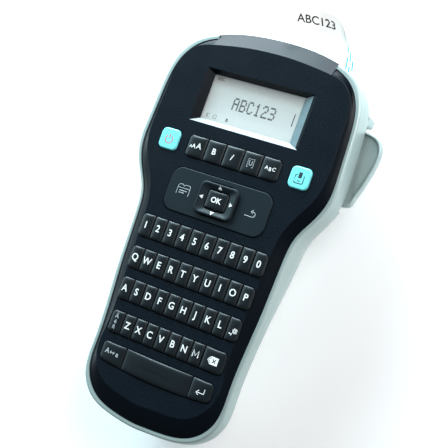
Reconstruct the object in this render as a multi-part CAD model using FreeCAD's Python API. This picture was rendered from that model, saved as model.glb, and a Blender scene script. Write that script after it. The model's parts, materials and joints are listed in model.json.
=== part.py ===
import FreeCAD, Part
import math
import os

# Hand-held electronic label maker, lying on its back: +Z leaves the keypad face, +Y points to
# the head with the display. The origin is on the flat back, between the two rear covers.
# All sizes are in millimetres.

V = FreeCAD.Vector

# Main levels through the thickness
FACE_Z = 50.0
EDGE_Z = 46.5
RIM_Z = 46.9
CROWN_Z = 42.0
SKIRT_Z = 43.6
WALL = 2.2
PLATE = 2.5
UNDERSIDE_Z = FACE_Z - PLATE

# Half outline of the case at its rim and of the raised face, as (y, half width)
RIM_OUTLINE = [
    (-103.8, 0), (-102.6, 17), (-97.5, 32.5), (-88, 40.4), (-70, 42.2), (-30, 44.3),
    (0, 45.3), (12, 47.2), (22, 52.6), (33, 57.3), (50, 57.8), (70, 56.7),
    (86, 53.2), (95.5, 45.5), (101.3, 32), (104.2, 15), (104.8, 0),
]
FACE_OUTLINE = [
    (-91.6, 0), (-90.6, 14.5), (-86.4, 28), (-77.5, 35.2), (-62, 35.9), (-30, 36.2),
    (-2, 37.3), (10, 38.7), (20.5, 43), (32, 49.5), (48, 51.9), (68, 51),
    (83, 48.9), (90.5, 43), (94, 31.5), (96.2, 14), (96.7, 0),
]

# How far the case tucks in below the rim: (z, at the head, at the grip, lower end, top end)
TUCKS = [
    (0, 16.8, 22.0, 13, 7.5),
    (2, 15.0, 20.3, 11.2, 6),
    (10, 10.8, 16.0, 7, 3),
    (20, 5.8, 10.8, 3.4, 1),
    (30, 1.0, 5.2, 1.5, 0),
    (38, 0, 0.3, 0, 0),
    (45.8, 0, 0, 0, 0),
]
INNER_TUCKS = TUCKS[:1] + TUCKS[2:]
HEAD_REF = 56.0
GRIP_REF = 43.0
BOTTOM_Y = RIM_OUTLINE[0][0]
TOP_Y = RIM_OUTLINE[-1][0]

COVER_GAP = 2.45
SLOPE_KNEE = 2.2
CROWN_X = (-33.5, 35.5)
CROWN_PROUD = 0.3

# Keys
KEY_TOP = 51.0
KEY_BASE = 43.8
KEY_FLANGE_TOP = 47.0
KEY_FLANGE = 1.0
KEY_GAP = 0.45
SLOT_GAP = 0.35
KEY_EDGE = 1.1
KEY_CORNER = 3.2

# Each row of keys: x range, y range and the sag of its lower edge, then where it is split
FORMAT_ROW = (-27.3, 27.3, 34.5, 45.9, 0)
NUMBER_ROW = (-37.4, 37.4, -12.0, 0.1, 0)
TOP_ROW = (-36.8, 36.8, -29.1, -17.4, 0)
HOME_ROW = (-36.1, 36.1, -45.8, -34.0, 0)
BOTTOM_ROW = (-34.8, 34.8, -63.2, -51.7, 0)
SPACE_ROW = (-33.6, 33.6, -77.6, -68.0, 2.2)
BOTTOM_SPLITS = [-27.0 + 6.95 * n for n in range(8)]
SPACE_SPLITS = [-19.3, 20.8]
SIDE_KEY_X = 38.5
SIDE_KEY_Y = 40.3
SIDE_KEY_SIZE = 11.2

# Navigation group
NAV_X = 29.7
NAV_Y = (5.5, 28.5)
NAV_CENTRE_Y = 17.0
NAV_RING = (11.2, 8.5)
OK_KEY = (6.0, 4.8)
NAV_GAP = 0.45

# Display
WINDOW_TOP = (32.0, 52.7, 82.0)
WINDOW_FLOOR = (-27.8, 25.0, 55.9, 79.8)
LCD_TOP = 45.6

# Boards
BOARD_Z = (39.9, 41.5)
MAT_Z = (41.6, 42.4)

# Rear covers
DOOR = (34.0, 14.0, 89.0)
DOOR_THICK = 2.2
DOOR_AXIS = (14.0, 2.4)
DOOR_KNUCKLE = 1.7
DOOR_SWING = 2.9
DOOR_LANDING = 3.2
DOOR_NOTCH = (31.0, 17.4)
DOOR_SLOT_X = 31.3
DOOR_PIN_R = 0.75
RUNNING_GAP = 0.05
BATTERY_COVER = (16.8, 18.2, 2.6)
BATTERY_COVER_TOP = -14.0

# Battery cells
CELL_R = 5.25
CELL_LENGTH = 44.5
CELL_PITCH = 11.0
CELL_Y = -72.0
CELL_Z = (9.2, 20.2)

# Tape path and cutter
TAPE_X = 28.0
TAPE_Z = (8.0, 20.0)
TAPE_THICK = 0.3
CASSETTE = (-36.0, 36.0, 20.5, 72.0, 5.6, 23.0)
CHASSIS_Z = (24.0, 25.5)
LEVER_PIVOT = (46.5, 38.0)
LEVER_Z = (18.5, 33.5)
ARM_Z = (21.6, 25.4)

# Gear train
MODULE = 0.8
GEAR_Z = (25.9, 28.1)
PLATEN_AT = (TAPE_X - 3.85, 79.0)
PLATEN_R = 3.5
PLATEN_TEETH = 20
IDLER_TEETH = 30
PINION_TEETH = 12
TAKE_UP_TEETH = 24
IDLER_ANGLE = 168.5
PINION_ANGLE = 180.0
TAKE_UP_ANGLE = -70.0

# Spools in the cassette
TAPE_SPOOL_AT = (-16.0, 39.0)
RIBBON_SPOOL_AT = (-12.0, 64.0)
POST_R = 2.0
SPINDLE_R = 2.4
SPOOL_Z = (7.2, 20.6)

SCREWS = [(-18.0, -2.0), (18.0, -2.0), (-22.0, 92.4), (14.0, 92.4)]


def box(x0, x1, y0, y1, z0, z1):
    return Part.makeBox(x1 - x0, y1 - y0, z1 - z0, V(x0, y0, z0))


def rod(x, y, z0, z1, radius):
    return Part.makeCylinder(radius, z1 - z0, V(x, y, z0))


def slab(x0, x1, y0, y1, z0, z1, corner):
    solid = box(x0, x1, y0, y1, z0, z1)
    upright = [edge for edge in solid.Edges if edge.BoundBox.ZLength > 0.9 * (z1 - z0)]
    return solid.makeFillet(corner, upright)


def tidy(shape):
    return shape.removeSplitter()


def fuse(shapes):
    joined = shapes[0].multiFuse(shapes[1:])
    return tidy(joined)


def blend(y):
    """0 along the grip, 1 at the head, with an even change between them."""
    return min(1.0, max(0.0, (y + 50.0) / 45.0))


def mirrored(half_points):
    right = [(width, y) for y, width in half_points]
    left = [(-width, y) for y, width in reversed(half_points[1:-1])]
    return right + left


def shared_knots():
    """One spacing along the outline for every section, so that lofts run evenly between them."""
    around = mirrored(RIM_OUTLINE)
    knots = [0.0]
    for (x0, y0), (x1, y1) in zip(around, around[1:] + around[:1]):
        knots.append(knots[-1] + math.hypot(x1 - x0, y1 - y0))
    return knots


KNOTS = shared_knots()


def closed_curve(half_points, z):
    points = [V(x, y, z) for x, y in mirrored(half_points)]
    curve = Part.BSplineCurve()
    curve.interpolate(Points=points, PeriodicFlag=True, Parameters=KNOTS)
    return Part.Wire(curve.toShape())


def case_section(z, inset=0.0, tuck=(0, 0, 0, 0)):
    """The case outline at one height, tucked in and then inset by a wall thickness."""
    head, grip, lower, upper = tuck
    bottom = BOTTOM_Y + lower + inset
    top = TOP_Y - upper - inset
    stretch = (top - bottom) / (TOP_Y - BOTTOM_Y)
    points = []
    for y, width in RIM_OUTLINE:
        share = blend(y)
        pull = (head * share + grip * (1 - share)) + inset
        reference = HEAD_REF * share + GRIP_REF * (1 - share)
        points.append((bottom + (y - BOTTOM_Y) * stretch, width * (1 - pull / reference)))
    return closed_curve(points, z)


def face_section(z, inset, share=1.0):
    """An outline between the cover's edge (share 0) and the raised face (share 1)."""
    points = []
    for (edge_y, edge_w), (face_y, face_w) in zip(RIM_OUTLINE, FACE_OUTLINE):
        y = edge_y * (1 - share) + face_y * share
        width = edge_w * (1 - share) + face_w * share
        centre = (BOTTOM_Y + TOP_Y) / 2
        half = (TOP_Y - BOTTOM_Y) / 2
        y = centre + (y - centre) * (1 - inset / half)
        reference = HEAD_REF * blend(y) + GRIP_REF * (1 - blend(y))
        points.append((y, width * (1 - inset / reference)))
    return closed_curve(points, z)


def loft(wires):
    return Part.makeLoft(wires, True, False)


def hull(tucks=TUCKS, inset=0.0, floor=0.0):
    """The case as a solid, or the room inside it when given a wall inset and a floor level."""
    sections = []
    for z, head, grip, lower, upper in tucks:
        sections.append(case_section(max(z, floor), inset, (head, grip, lower, upper)))
    return loft(sections)


def cover_sides():
    """The upright skirt of the front cover and the slope from its edge to the raised face."""
    edge = face_section(EDGE_Z, COVER_GAP, 0)
    skirt = loft([face_section(SKIRT_Z, COVER_GAP, 0), edge])
    slope = loft([edge, face_section(EDGE_Z + SLOPE_KNEE, COVER_GAP, 0.45), face_section(FACE_Z, 0, 1)])
    return skirt, slope


def crown():
    """The lip of the cover that wraps over the top end of the case."""
    low = face_section(CROWN_Z, -CROWN_PROUD, 0)
    edge = face_section(EDGE_Z - 1.6, -CROWN_PROUD, 0)
    side = loft([low, edge])
    slope = loft([edge, face_section(EDGE_Z + 1.1, 0, 0.5), face_section(FACE_Z - 0.02, 0, 1)])
    window = box(CROWN_X[0], CROWN_X[1], 90, 110, CROWN_Z, FACE_Z)
    inner = loft([face_section(CROWN_Z - 1, 1.9, 0), face_section(EDGE_Z - 1.6, 1.9, 0)])
    return fuse([side, slope]).common(window).cut(inner)


def row_plate(row, z0, z1, grow=0.0, corner=KEY_CORNER):
    x0, x1, y0, y1, sag = row
    x0, x1, y0, y1 = x0 - grow, x1 + grow, y0 - grow, y1 + grow
    if sag:
        bottom = Part.Arc(V(x0, y0, z0), V(0, y0 - sag, z0), V(x1, y0, z0)).toShape()
    else:
        bottom = Part.LineSegment(V(x0, y0, z0), V(x1, y0, z0)).toShape()
    rest = Part.makePolygon([V(x1, y0, z0), V(x1, y1, z0), V(x0, y1, z0), V(x0, y0, z0)])
    face = Part.Face(Part.Wire([bottom] + rest.Edges))
    solid = face.extrude(V(0, 0, z1 - z0))
    upright = [
        edge for edge in solid.Edges
        if edge.BoundBox.ZLength > 0.9 * (z1 - z0) and edge.BoundBox.XLength < 0.01
    ]
    return solid.makeFillet(corner + grow * 0.5, upright)


def round_top(solid, radius):
    top = solid.BoundBox.ZMax
    rim = [edge for edge in solid.Edges if edge.BoundBox.ZMin > top - 0.01]
    return solid.makeFillet(radius, rim)


def row_keys(row, splits):
    """The separate keys of one row, each with a flange that holds it under the cover."""
    x0, x1, y0, y1, sag = row
    stem = row_plate(row, KEY_BASE, KEY_TOP)
    flange_row = (x0, x1, y0 - KEY_FLANGE, y1 + KEY_FLANGE, sag)
    flange = row_plate(flange_row, KEY_BASE, KEY_FLANGE_TOP)
    ends = [x0 - KEY_GAP / 2] + splits + [x1 + KEY_GAP / 2]
    keys = []
    for left, right in zip(ends[:-1], ends[1:]):
        cutter = box(left + KEY_GAP / 2, right - KEY_GAP / 2, y0 - 9, y1 + 9, KEY_BASE - 1, 60)
        cap = round_top(stem.common(cutter), KEY_EDGE)
        keys.append(fuse([cap, flange.common(cutter)]))
    return keys


def even_splits(row, count):
    step = (row[1] - row[0]) / count
    return [row[0] + step * n for n in range(1, count)]


def side_key(side, grow=0.0, z0=KEY_BASE, z1=KEY_TOP - 0.2):
    half = SIDE_KEY_SIZE / 2 + grow
    x = side * SIDE_KEY_X
    return slab(x - half, x + half, SIDE_KEY_Y - half, SIDE_KEY_Y + half, z0, z1, 2.8 + grow * 0.5)


def side_key_cap(side):
    cap = round_top(side_key(side), 0.9)
    flange = side_key(side, KEY_FLANGE, KEY_BASE, KEY_FLANGE_TOP)
    return fuse([cap, flange])


def nav_block(half_x, half_y, z0, z1, corner):
    return slab(-half_x, half_x, NAV_CENTRE_Y - half_y, NAV_CENTRE_Y + half_y, z0, z1, corner)


def display_recess():
    wide, low, high = WINDOW_TOP
    left, right, floor_low, floor_high = WINDOW_FLOOR
    top = Part.makePolygon([V(-wide, low, FACE_Z + 0.1), V(wide, low, FACE_Z + 0.1),
                            V(wide, high, FACE_Z + 0.1), V(-wide, high, FACE_Z + 0.1),
                            V(-wide, low, FACE_Z + 0.1)])
    floor_z = UNDERSIDE_Z - 1.6
    foot = Part.makePolygon([V(left, floor_low, floor_z), V(right, floor_low, floor_z),
                             V(right, floor_high, floor_z), V(left, floor_high, floor_z),
                             V(left, floor_low, floor_z)])
    return Part.makeLoft([foot, top], True, True)


def make_front_cover():
    skirt, slope = cover_sides()
    outside = fuse([skirt, slope, crown()])
    inner_skirt = loft([
        face_section(CROWN_Z - 1, COVER_GAP + 1.8, 0),
        face_section(EDGE_Z - PLATE + 0.4, COVER_GAP + 1.8, 0),
    ])
    inner_slope = loft([
        face_section(EDGE_Z - PLATE + 0.4, COVER_GAP + 1.8, 0),
        face_section(UNDERSIDE_Z, -1.2, 1),
    ])
    frame_band = box(-34, 34, 50.7, 84, 46.2, UNDERSIDE_Z + 0.5)
    cover = outside.cut(inner_skirt).cut(inner_slope)
    cover = cover.fuse(frame_band.common(inner_slope))
    openings = [display_recess()]
    for row in (FORMAT_ROW, NUMBER_ROW, TOP_ROW, HOME_ROW, BOTTOM_ROW, SPACE_ROW):
        openings.append(row_plate(row, UNDERSIDE_Z - 1, FACE_Z + 1, SLOT_GAP))
    for side in (-1, 1):
        openings.append(side_key(side, SLOT_GAP, UNDERSIDE_Z - 1, FACE_Z + 1))
    openings.append(slab(-NAV_X - SLOT_GAP, NAV_X + SLOT_GAP, NAV_Y[0] - SLOT_GAP,
                         NAV_Y[1] + SLOT_GAP, UNDERSIDE_Z - 1, FACE_Z + 1, 6.2))
    for opening in openings:
        cover = cover.cut(opening)
    return tidy(cover)


def dovetail(clear, y0, y1):
    narrow, wide, height = BATTERY_COVER
    profile = Part.makePolygon([
        V(-narrow - clear, y0, -1), V(-narrow - clear, y0, 0),
        V(-wide - clear, y0, height + clear), V(wide + clear, y0, height + clear),
        V(narrow + clear, y0, 0), V(narrow + clear, y0, -1), V(-narrow - clear, y0, -1),
    ])
    return Part.Face(profile).extrude(V(0, y1 - y0, 0))


def make_battery_cover():
    cover = dovetail(0, -120, BATTERY_COVER_TOP).common(hull())
    for n in range(4):
        y = -24.0 - 3.0 * n
        cover = cover.cut(box(-8, 8, y, y + 1.2, -1, 0.5))
    return cover


def door_body(clear):
    half, low, high = DOOR
    plate = slab(-half - clear, half + clear, low - 8, high + clear, -1,
                 DOOR_THICK + clear, 5.0 + clear)
    return plate.cut(box(-60, 60, low - 20, low + 0.6 - clear, -2, 9))


def knuckle_spans():
    return [(-30.0, -18.0), (-6.0, 6.0), (18.0, 30.0)]


def along_x(x0, x1, y, z, radius):
    return Part.makeCylinder(radius, x1 - x0, V(x0, y, z), V(1, 0, 0))


def make_cassette_door():
    y, z = DOOR_AXIS
    door = door_body(0).common(hull())
    for x0, x1 in knuckle_spans():
        door = door.fuse(along_x(x0, x1, y, z, DOOR_KNUCKLE))
        door = door.fuse(box(x0, x1, y, y + 4.0, 0.6, DOOR_THICK))
    for x0 in (-24.0, 4.0, 26.0):
        door = door.fuse(box(x0, x0 + 1.6, 30, 62, DOOR_THICK, 4.6))
    door = door.cut(along_x(-60, 60, y, z, DOOR_PIN_R + RUNNING_GAP))
    door = door.cut(box(-9, 9, 85.5, 87.5, -1, 0.8))
    notch_x, notch_y = DOOR_NOTCH
    door = door.cut(box(notch_x, 60, y - 8, notch_y, -1, 9))
    door = door.cut(box(-60, -notch_x, y - 8, notch_y, -1, 9))
    return tidy(door)


def lever_pocket():
    return slab(41.5, 80, 32.0, 76.6, LEVER_Z[0] - 0.6, LEVER_Z[1] + 0.6, 2.0)


def boss(x, y, top):
    return rod(x, y, 0, top, 3.6)


def make_rear_case():
    outside = hull()
    lip = loft([
        case_section(45.8), case_section(46.5, 0.3), case_section(RIM_Z, 0.9),
    ])
    outside = fuse([outside, lip])
    inside = hull(INNER_TUCKS, WALL, WALL)
    inside_top = loft([case_section(45.0, WALL), case_section(48.0, WALL)])
    case = outside.cut(inside).cut(inside_top)
    posts = []
    for x, y in SCREWS:
        posts.append(boss(x, y, 23))
    posts.append(box(42.5, 50.5, 34.0, 42.0, 10, LEVER_Z[0] - 0.6))
    posts.append(box(42.5, 60, 34.0, 42.0, LEVER_Z[1] + 0.6, 38))
    y, z = DOOR_AXIS
    posts.append(box(-34.4, -31.5, y - 4, y + 2.4, 2, 5.2))
    posts.append(box(31.5, 34.4, y - 4, y + 2.4, 2, 5.2))
    posts.append(box(-45, 45, 10.2, 11.4, 2, 22))
    for post in posts:
        case = case.fuse(post.common(outside))
    cuts = [
        dovetail(0.25, -120, BATTERY_COVER_TOP + 0.3),
        door_body(0.35),
        along_x(-DOOR_SLOT_X, DOOR_SLOT_X, y, z, DOOR_SWING),
        box(-DOOR_SLOT_X, DOOR_SLOT_X, y - DOOR_LANDING, y, -1, z),
        along_x(-34.0, 34.0, y, z, DOOR_PIN_R + 0.02),
        lever_pocket(),
        rod(LEVER_PIVOT[0], LEVER_PIVOT[1], 13.5, 36.5, 1.02),
        rod(LEVER_PIVOT[0], LEVER_PIVOT[1], 15.0, 20.0, 2.3),
        box(CROWN_X[0] - 0.3, CROWN_X[1] + 0.3, 98, 110, CROWN_Z - 0.2, 60),
        box(TAPE_X - 1.2, TAPE_X + 1.2, 90, 110, TAPE_Z[0] - 1.0, TAPE_Z[1] + 3.5),
        along_x(-60, -45, 60, 31, 4.2),
    ]
    for x, y in SCREWS:
        cuts.append(rod(x, y, -1, 2.6, 3.0))
        cuts.append(rod(x, y, 2, 16, 1.35))
    for cutter in cuts:
        case = case.cut(cutter)
    return case.fuse(slab(49.5, 55.2, 76.9, 82.0, 24, 33, 1.4))


def lever_outline(z, inset):
    outer = [(59.0, 35.2), (62.4, 42.0), (65.0, 50.5), (66.8, 59.5), (66.9, 66.5),
             (64.0, 71.4), (58.5, 73.6)]
    inner = [(51.5, 73.2), (49.6, 66.0), (49.0, 56.0), (46.5, 47.0), (44.2, 41.0), (45.0, 35.6)]
    centre = V(56, 54, 0)
    points = []
    for x, y in outer + inner:
        away = V(x, y, 0) - centre
        shorter = away * (1 - inset / away.Length)
        points.append(V(centre.x + shorter.x, centre.y + shorter.y, z))
    curve = Part.BSplineCurve()
    curve.interpolate(Points=points, PeriodicFlag=True)
    return Part.Wire(curve.toShape())


def make_cutter_lever():
    low, high = LEVER_Z
    body = loft([
        lever_outline(low, 2.2), lever_outline(low + 2.5, 0.6), lever_outline(26, 0),
        lever_outline(high - 2.0, 0.4), lever_outline(high, 1.6),
    ])
    tab = box(47.6, 52.5, 63.0, 68.5, ARM_Z[0], ARM_Z[1])
    body = body.fuse(tab)
    body = body.cut(rod(LEVER_PIVOT[0], LEVER_PIVOT[1], 10, 40, 1.0 + RUNNING_GAP))
    return tidy(body)


def make_blade_carriage():
    outline = [(43.6, 62.0), (46.8, 62.0), (42.7, 79.0), (37.4, 90.0), (33.4, 90.0),
               (33.4, 86.0), (37.0, 86.0), (40.3, 78.0), (43.6, 62.0)]
    plate = Part.Face(Part.makePolygon([V(x, y, ARM_Z[0]) for x, y in outline]))
    frame = plate.extrude(V(0, 0, ARM_Z[1] - ARM_Z[0]))
    holder = box(33.4, 35.2, 86.0, 89.6, 9.4, ARM_Z[1])
    return tidy(frame.fuse(holder))


def make_cutter_blade():
    outline = [(32.4, 87.7), (33.35, 87.2), (33.35, 88.8), (32.4, 88.3), (32.4, 87.7)]
    face = Part.Face(Part.makePolygon([V(x, y, 7.4) for x, y in outline]))
    return face.extrude(V(0, 0, 13.4))


def make_cutter_anvil():
    anvil = box(23.6, TAPE_X - 0.4, 85.6, 90.4, 6.2, 23.9)
    return anvil.cut(box(TAPE_X - 0.9, TAPE_X, 87.6, 88.4, 6, 24))


def ring(x, y, z0, z1, outer, inner):
    return rod(x, y, z0, z1, outer).cut(rod(x, y, z0 - 1, z1 + 1, inner))


def gear_phase(angle_deg, own_phase, own_teeth, other_teeth):
    """Rotation of a gear in mesh with another one that lies at angle_deg from it."""
    angle = math.radians(angle_deg)
    own_pitch = 2 * math.pi / own_teeth
    other_pitch = 2 * math.pi / other_teeth
    share = ((angle - own_phase) / own_pitch) % 1.0
    return angle + math.pi - (0.5 - share) * other_pitch


def gear(at, teeth, phase, bore):
    x, y = at
    pitch_r = MODULE * teeth / 2
    root_r = pitch_r - 1.2 * MODULE
    tip_r = pitch_r + 0.8 * MODULE
    pitch = 2 * math.pi / teeth
    points = []
    for n in range(teeth):
        middle = phase + n * pitch
        for turn, radius in ((-0.27, root_r), (-0.11, tip_r), (0.11, tip_r), (0.27, root_r)):
            a = middle + turn * pitch
            points.append(V(x + radius * math.cos(a), y + radius * math.sin(a), GEAR_Z[0]))
    points.append(points[0])
    body = Part.Face(Part.makePolygon(points)).extrude(V(0, 0, GEAR_Z[1] - GEAR_Z[0]))
    return body.cut(rod(x, y, GEAR_Z[0] - 1, GEAR_Z[1] + 1, bore))


def at_angle(centre, teeth_a, teeth_b, angle_deg):
    reach = MODULE * (teeth_a + teeth_b) / 2
    angle = math.radians(angle_deg)
    return (centre[0] + reach * math.cos(angle), centre[1] + reach * math.sin(angle))


# Where the gears land once they mesh
IDLER_AT = at_angle(PLATEN_AT, PLATEN_TEETH, IDLER_TEETH, IDLER_ANGLE)
PINION_AT = at_angle(IDLER_AT, IDLER_TEETH, PINION_TEETH, PINION_ANGLE)
TAKE_UP_AT = at_angle(IDLER_AT, IDLER_TEETH, TAKE_UP_TEETH, TAKE_UP_ANGLE)
IDLER_PHASE = gear_phase(IDLER_ANGLE, 0.0, PLATEN_TEETH, IDLER_TEETH)
PINION_PHASE = gear_phase(PINION_ANGLE, IDLER_PHASE, IDLER_TEETH, PINION_TEETH)
TAKE_UP_PHASE = gear_phase(TAKE_UP_ANGLE, IDLER_PHASE, IDLER_TEETH, TAKE_UP_TEETH)


def make_chassis_plate():
    plate = slab(-39, 33, 15.5, 91, CHASSIS_Z[0], CHASSIS_Z[1], 8)
    holes = [
        rod(PLATEN_AT[0], PLATEN_AT[1], 20, 30, 1.25 + RUNNING_GAP),
        rod(TAKE_UP_AT[0], TAKE_UP_AT[1], 20, 30, SPINDLE_R + RUNNING_GAP),
        box(28.9, 34, 84.9, 92, 20, 30),
    ]
    for hole in holes:
        plate = plate.cut(hole)
    return plate.fuse(rod(IDLER_AT[0], IDLER_AT[1], CHASSIS_Z[1], GEAR_Z[1] + 0.6, 1.5))


def make_cassette_shell():
    x0, x1, y0, y1, z0, z1 = CASSETTE
    shell = slab(x0, x1, y0, y1, z0, z1 - 1.4, 8)
    shell = shell.cut(slab(x0 + 1.2, x1 - 1.2, y0 + 1.2, y1 - 1.2, z0 + 1.2, z1, 6.8))
    shell = shell.cut(box(TAPE_X - 0.8, TAPE_X + 0.8, y1 - 3, y1 + 1, TAPE_Z[0] - 1, z1))
    for x, y in (TAPE_SPOOL_AT, RIBBON_SPOOL_AT):
        shell = shell.fuse(rod(x, y, z0 + 1, z1 - 1.6, POST_R))
    return shell.cut(rod(TAKE_UP_AT[0], TAKE_UP_AT[1], z0 - 1, z0 + 3, SPINDLE_R + 0.6))


def make_cassette_lid():
    x0, x1, y0, y1, z0, z1 = CASSETTE
    lid = slab(x0, x1, y0, y1, z1 - 1.35, z1, 8)
    return lid.cut(rod(TAKE_UP_AT[0], TAKE_UP_AT[1], z1 - 3, z1 + 1, SPINDLE_R + 0.6))


def spool(at, outer, bore):
    x, y = at
    low, high = SPOOL_Z
    flange = ring(x, y, low, low + 0.8, outer, bore)
    core = ring(x, y, low, high, outer - 1.4, bore)
    return tidy(flange.fuse(core))


def label_route():
    """Points along the tape's middle line, each with the direction of the tape's width."""
    return [
        ((28.0, 74.5, 14.0), (0, 0, 1)),
        ((28.0, 84.0, 14.0), (0, 0, 1)),
        ((28.0, 93.0, 14.0), (0, 0, 1)),
        ((28.0, 101.0, 14.6), (0, 0, 1)),
        ((28.6, 108.0, 18.0), (-0.03, 0.12, 1)),
        ((29.0, 114.0, 24.5), (-0.06, 0.3, 0.95)),
        ((27.5, 118.5, 32.0), (-0.12, 0.55, 0.8)),
        ((22.5, 120.6, 38.0), (-0.2, 0.75, 0.6)),
        ((14.0, 120.0, 42.5), (-0.27, 0.88, 0.38)),
        ((5.5, 118.4, 46.5), (-0.3, 0.93, 0.25)),
        ((-2.6, 116.6, 50.0), (-0.3, 0.93, 0.2)),
    ]


def even_samples(points, count):
    curve = Part.BSplineCurve()
    curve.interpolate(Points=points)
    step = (curve.LastParameter - curve.FirstParameter) / count
    return [curve.value(curve.FirstParameter + step * n) for n in range(count + 1)]


def make_label_tape():
    middles = even_samples([V(*middle) for middle, width in label_route()], 36)
    widths = even_samples([V(*width) * 20 + V(*middle) for middle, width in label_route()], 36)
    half = (TAPE_Z[1] - TAPE_Z[0]) / 2
    wires = []
    for n, (centre, tip) in enumerate(zip(middles, widths)):
        along = (middles[min(n + 1, 36)] - middles[max(n - 1, 0)]).normalize()
        across = tip - centre
        across = (across - along * across.dot(along)).normalize()
        thick = along.cross(across) * (TAPE_THICK / 2)
        corners = [centre + across * half + thick, centre - across * half + thick,
                   centre - across * half - thick, centre + across * half - thick]
        wires.append(Part.makePolygon(corners + corners[:1]))
    return Part.makeLoft(wires, True, True)


def make_print_head():
    head = box(TAPE_X + 0.45, TAPE_X + 1.6, 75.2, 83.0, 7.0, 21.0)
    ridge = Part.makeCylinder(0.5, 13.0, V(TAPE_X + 0.75, PLATEN_AT[1], 7.5))
    return tidy(head.fuse(ridge))


def make_heat_sink():
    sink = box(TAPE_X + 1.65, TAPE_X + 3.2, 74.6, 84.0, 6.4, 23.6)
    return tidy(sink.fuse(box(TAPE_X + 1.65, TAPE_X + 5.5, 74.6, 84.0, 22.2, 23.6)))


def make_battery_tray():
    tray = box(-18.0, 18.0, -77.4, -19.5, 3.8, 27.0)
    hollow = box(-16.8, 16.8, -76.6, -20.7, 2.0, 25.8)
    return tray.cut(hollow)


def cells():
    for z in CELL_Z:
        for n in (-1, 0, 1):
            yield n * CELL_PITCH, z


def make_cells():
    group = []
    for x, z in cells():
        can = Part.makeCylinder(CELL_R, CELL_LENGTH - 1.2, V(x, CELL_Y, z), V(0, 1, 0))
        nub = Part.makeCylinder(1.9, 1.2, V(x, CELL_Y + CELL_LENGTH - 1.2, z), V(0, 1, 0))
        group.append(can.fuse(nub))
    return Part.makeCompound(group)


def coil(length, radius, wire, turns):
    """A spring along +Z from the origin."""
    path = Part.makeHelix(length / turns, length, radius)
    profile = Part.Wire(Part.makeCircle(wire, V(radius, 0, 0), V(0, 1, 0)))
    return Part.Wire(path).makePipeShell([profile], True, True)


def make_battery_springs():
    """Bent leaf springs that press on the flat end of each cell."""
    group = []
    base = CELL_Y - 3.5
    for x, z in cells():
        bend = [(base, z - 3.5), (base + 2.9, z), (base, z + 3.5), (base, z + 3.1),
                (base + 2.4, z), (base, z - 3.1), (base, z - 3.5)]
        face = Part.Face(Part.makePolygon([V(x - 2.2, y, height) for y, height in bend]))
        group.append(face.extrude(V(4.4, 0, 0)))
    return Part.makeCompound(group)


def make_battery_contacts():
    group = []
    for x, z in cells():
        group.append(box(x - 4.2, x + 4.2, CELL_Y - 4.2, CELL_Y - 3.7, z - 4.2, z + 4.2))
        top = CELL_Y + CELL_LENGTH
        group.append(box(x - 4.2, x + 4.2, top + 0.1, top + 0.6, z - 4.2, z + 4.2))
    return Part.makeCompound(group)


def make_lever_spring():
    spring = coil(1.8, 1.75, 0.25, 3)
    spring.translate(V(LEVER_PIVOT[0], LEVER_PIVOT[1], 15.4))
    return spring


def make_power_jack():
    body = box(-50.6, -40.0, 55.0, 65.0, 25.5, 36.5)
    body = body.fuse(along_x(-56.4, -50.6, 60, 31, 4.0))
    body = body.cut(along_x(-58, -46.0, 60, 31, 2.8))
    return tidy(body.fuse(along_x(-55.6, -45.9, 60, 31, 1.0)))


def make_screws():
    group = []
    for x, y in SCREWS:
        head = rod(x, y, 0.7, 2.5, 2.7).cut(box(x - 1.9, x + 1.9, y - 0.35, y + 0.35, 0, 1.5))
        head = head.cut(box(x - 0.35, x + 0.35, y - 1.9, y + 1.9, 0, 1.5))
        group.append(head.fuse(rod(x, y, 2.5, 15, 1.25)))
    return Part.makeCompound(group)


def make_board():
    grip = slab(-34, 34, -84, 34, BOARD_Z[0], BOARD_Z[1], 6)
    head = slab(-46, 46, 28, 88, BOARD_Z[0], BOARD_Z[1], 8)
    return fuse([grip, head])


def make_mat():
    grip = slab(-36.4, 36.4, -82, 30, MAT_Z[0], MAT_Z[1], 6)
    head = slab(-45.6, 45.6, 31, 48.6, MAT_Z[0], MAT_Z[1], 6)
    link = box(-30, 30, 25, 35, MAT_Z[0], MAT_Z[1])
    ribs = [box(-33, 33, y - 0.9, y + 0.9, MAT_Z[0], 45.5) for y in (2.9, -14.8, -31.6, -48.8, -65.6)]
    return fuse([grip, head, link] + ribs)


def make_nav_panel():
    panel = slab(-NAV_X, NAV_X, NAV_Y[0], NAV_Y[1], KEY_BASE + 0.8, FACE_Z + 0.4, 6)
    panel = round_top(panel, 0.5)
    half_x, half_y = NAV_RING
    return panel.cut(nav_block(half_x + 0.6, half_y + 0.6, 40, 60, 6.6))


def make_nav_ring():
    half_x, half_y = NAV_RING
    body = round_top(nav_block(half_x, half_y, KEY_BASE + 1.0, FACE_Z + 2.0, 6.2), 1.2)
    dish = Part.makeSphere(30.0, V(0, NAV_CENTRE_Y, FACE_Z + 30.7))
    ok_x, ok_y = OK_KEY
    hole = nav_block(ok_x + NAV_GAP, ok_y + NAV_GAP, 40, 60, 2.2)
    return body.cut(dish).cut(hole)


def make_ok_key():
    ok_x, ok_y = OK_KEY
    return round_top(nav_block(ok_x, ok_y, KEY_BASE, FACE_Z + 1.6, 1.9), 0.8)


def make_nav_pivot():
    ok_x, ok_y = OK_KEY
    outer = nav_block(9.6, 7.4, 42.95, 43.95, 3)
    return outer.cut(nav_block(ok_x + 0.8, ok_y + 0.8, 40, 60, 2))


def make_lcd_panel():
    return box(-28.6, 28.6, 53.6, 82.0, 43.4, LCD_TOP)


def make_lcd_frame():
    outer = box(-31.0, 31.0, 51.4, 84.2, 41.6, 45.5)
    return outer.cut(box(-28.75, 28.75, 53.45, 82.15, 43.3, 46))


def make_display_window():
    return box(-30.5, 30.5, 52.2, 83.4, LCD_TOP + 0.05, 46.15)


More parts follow.
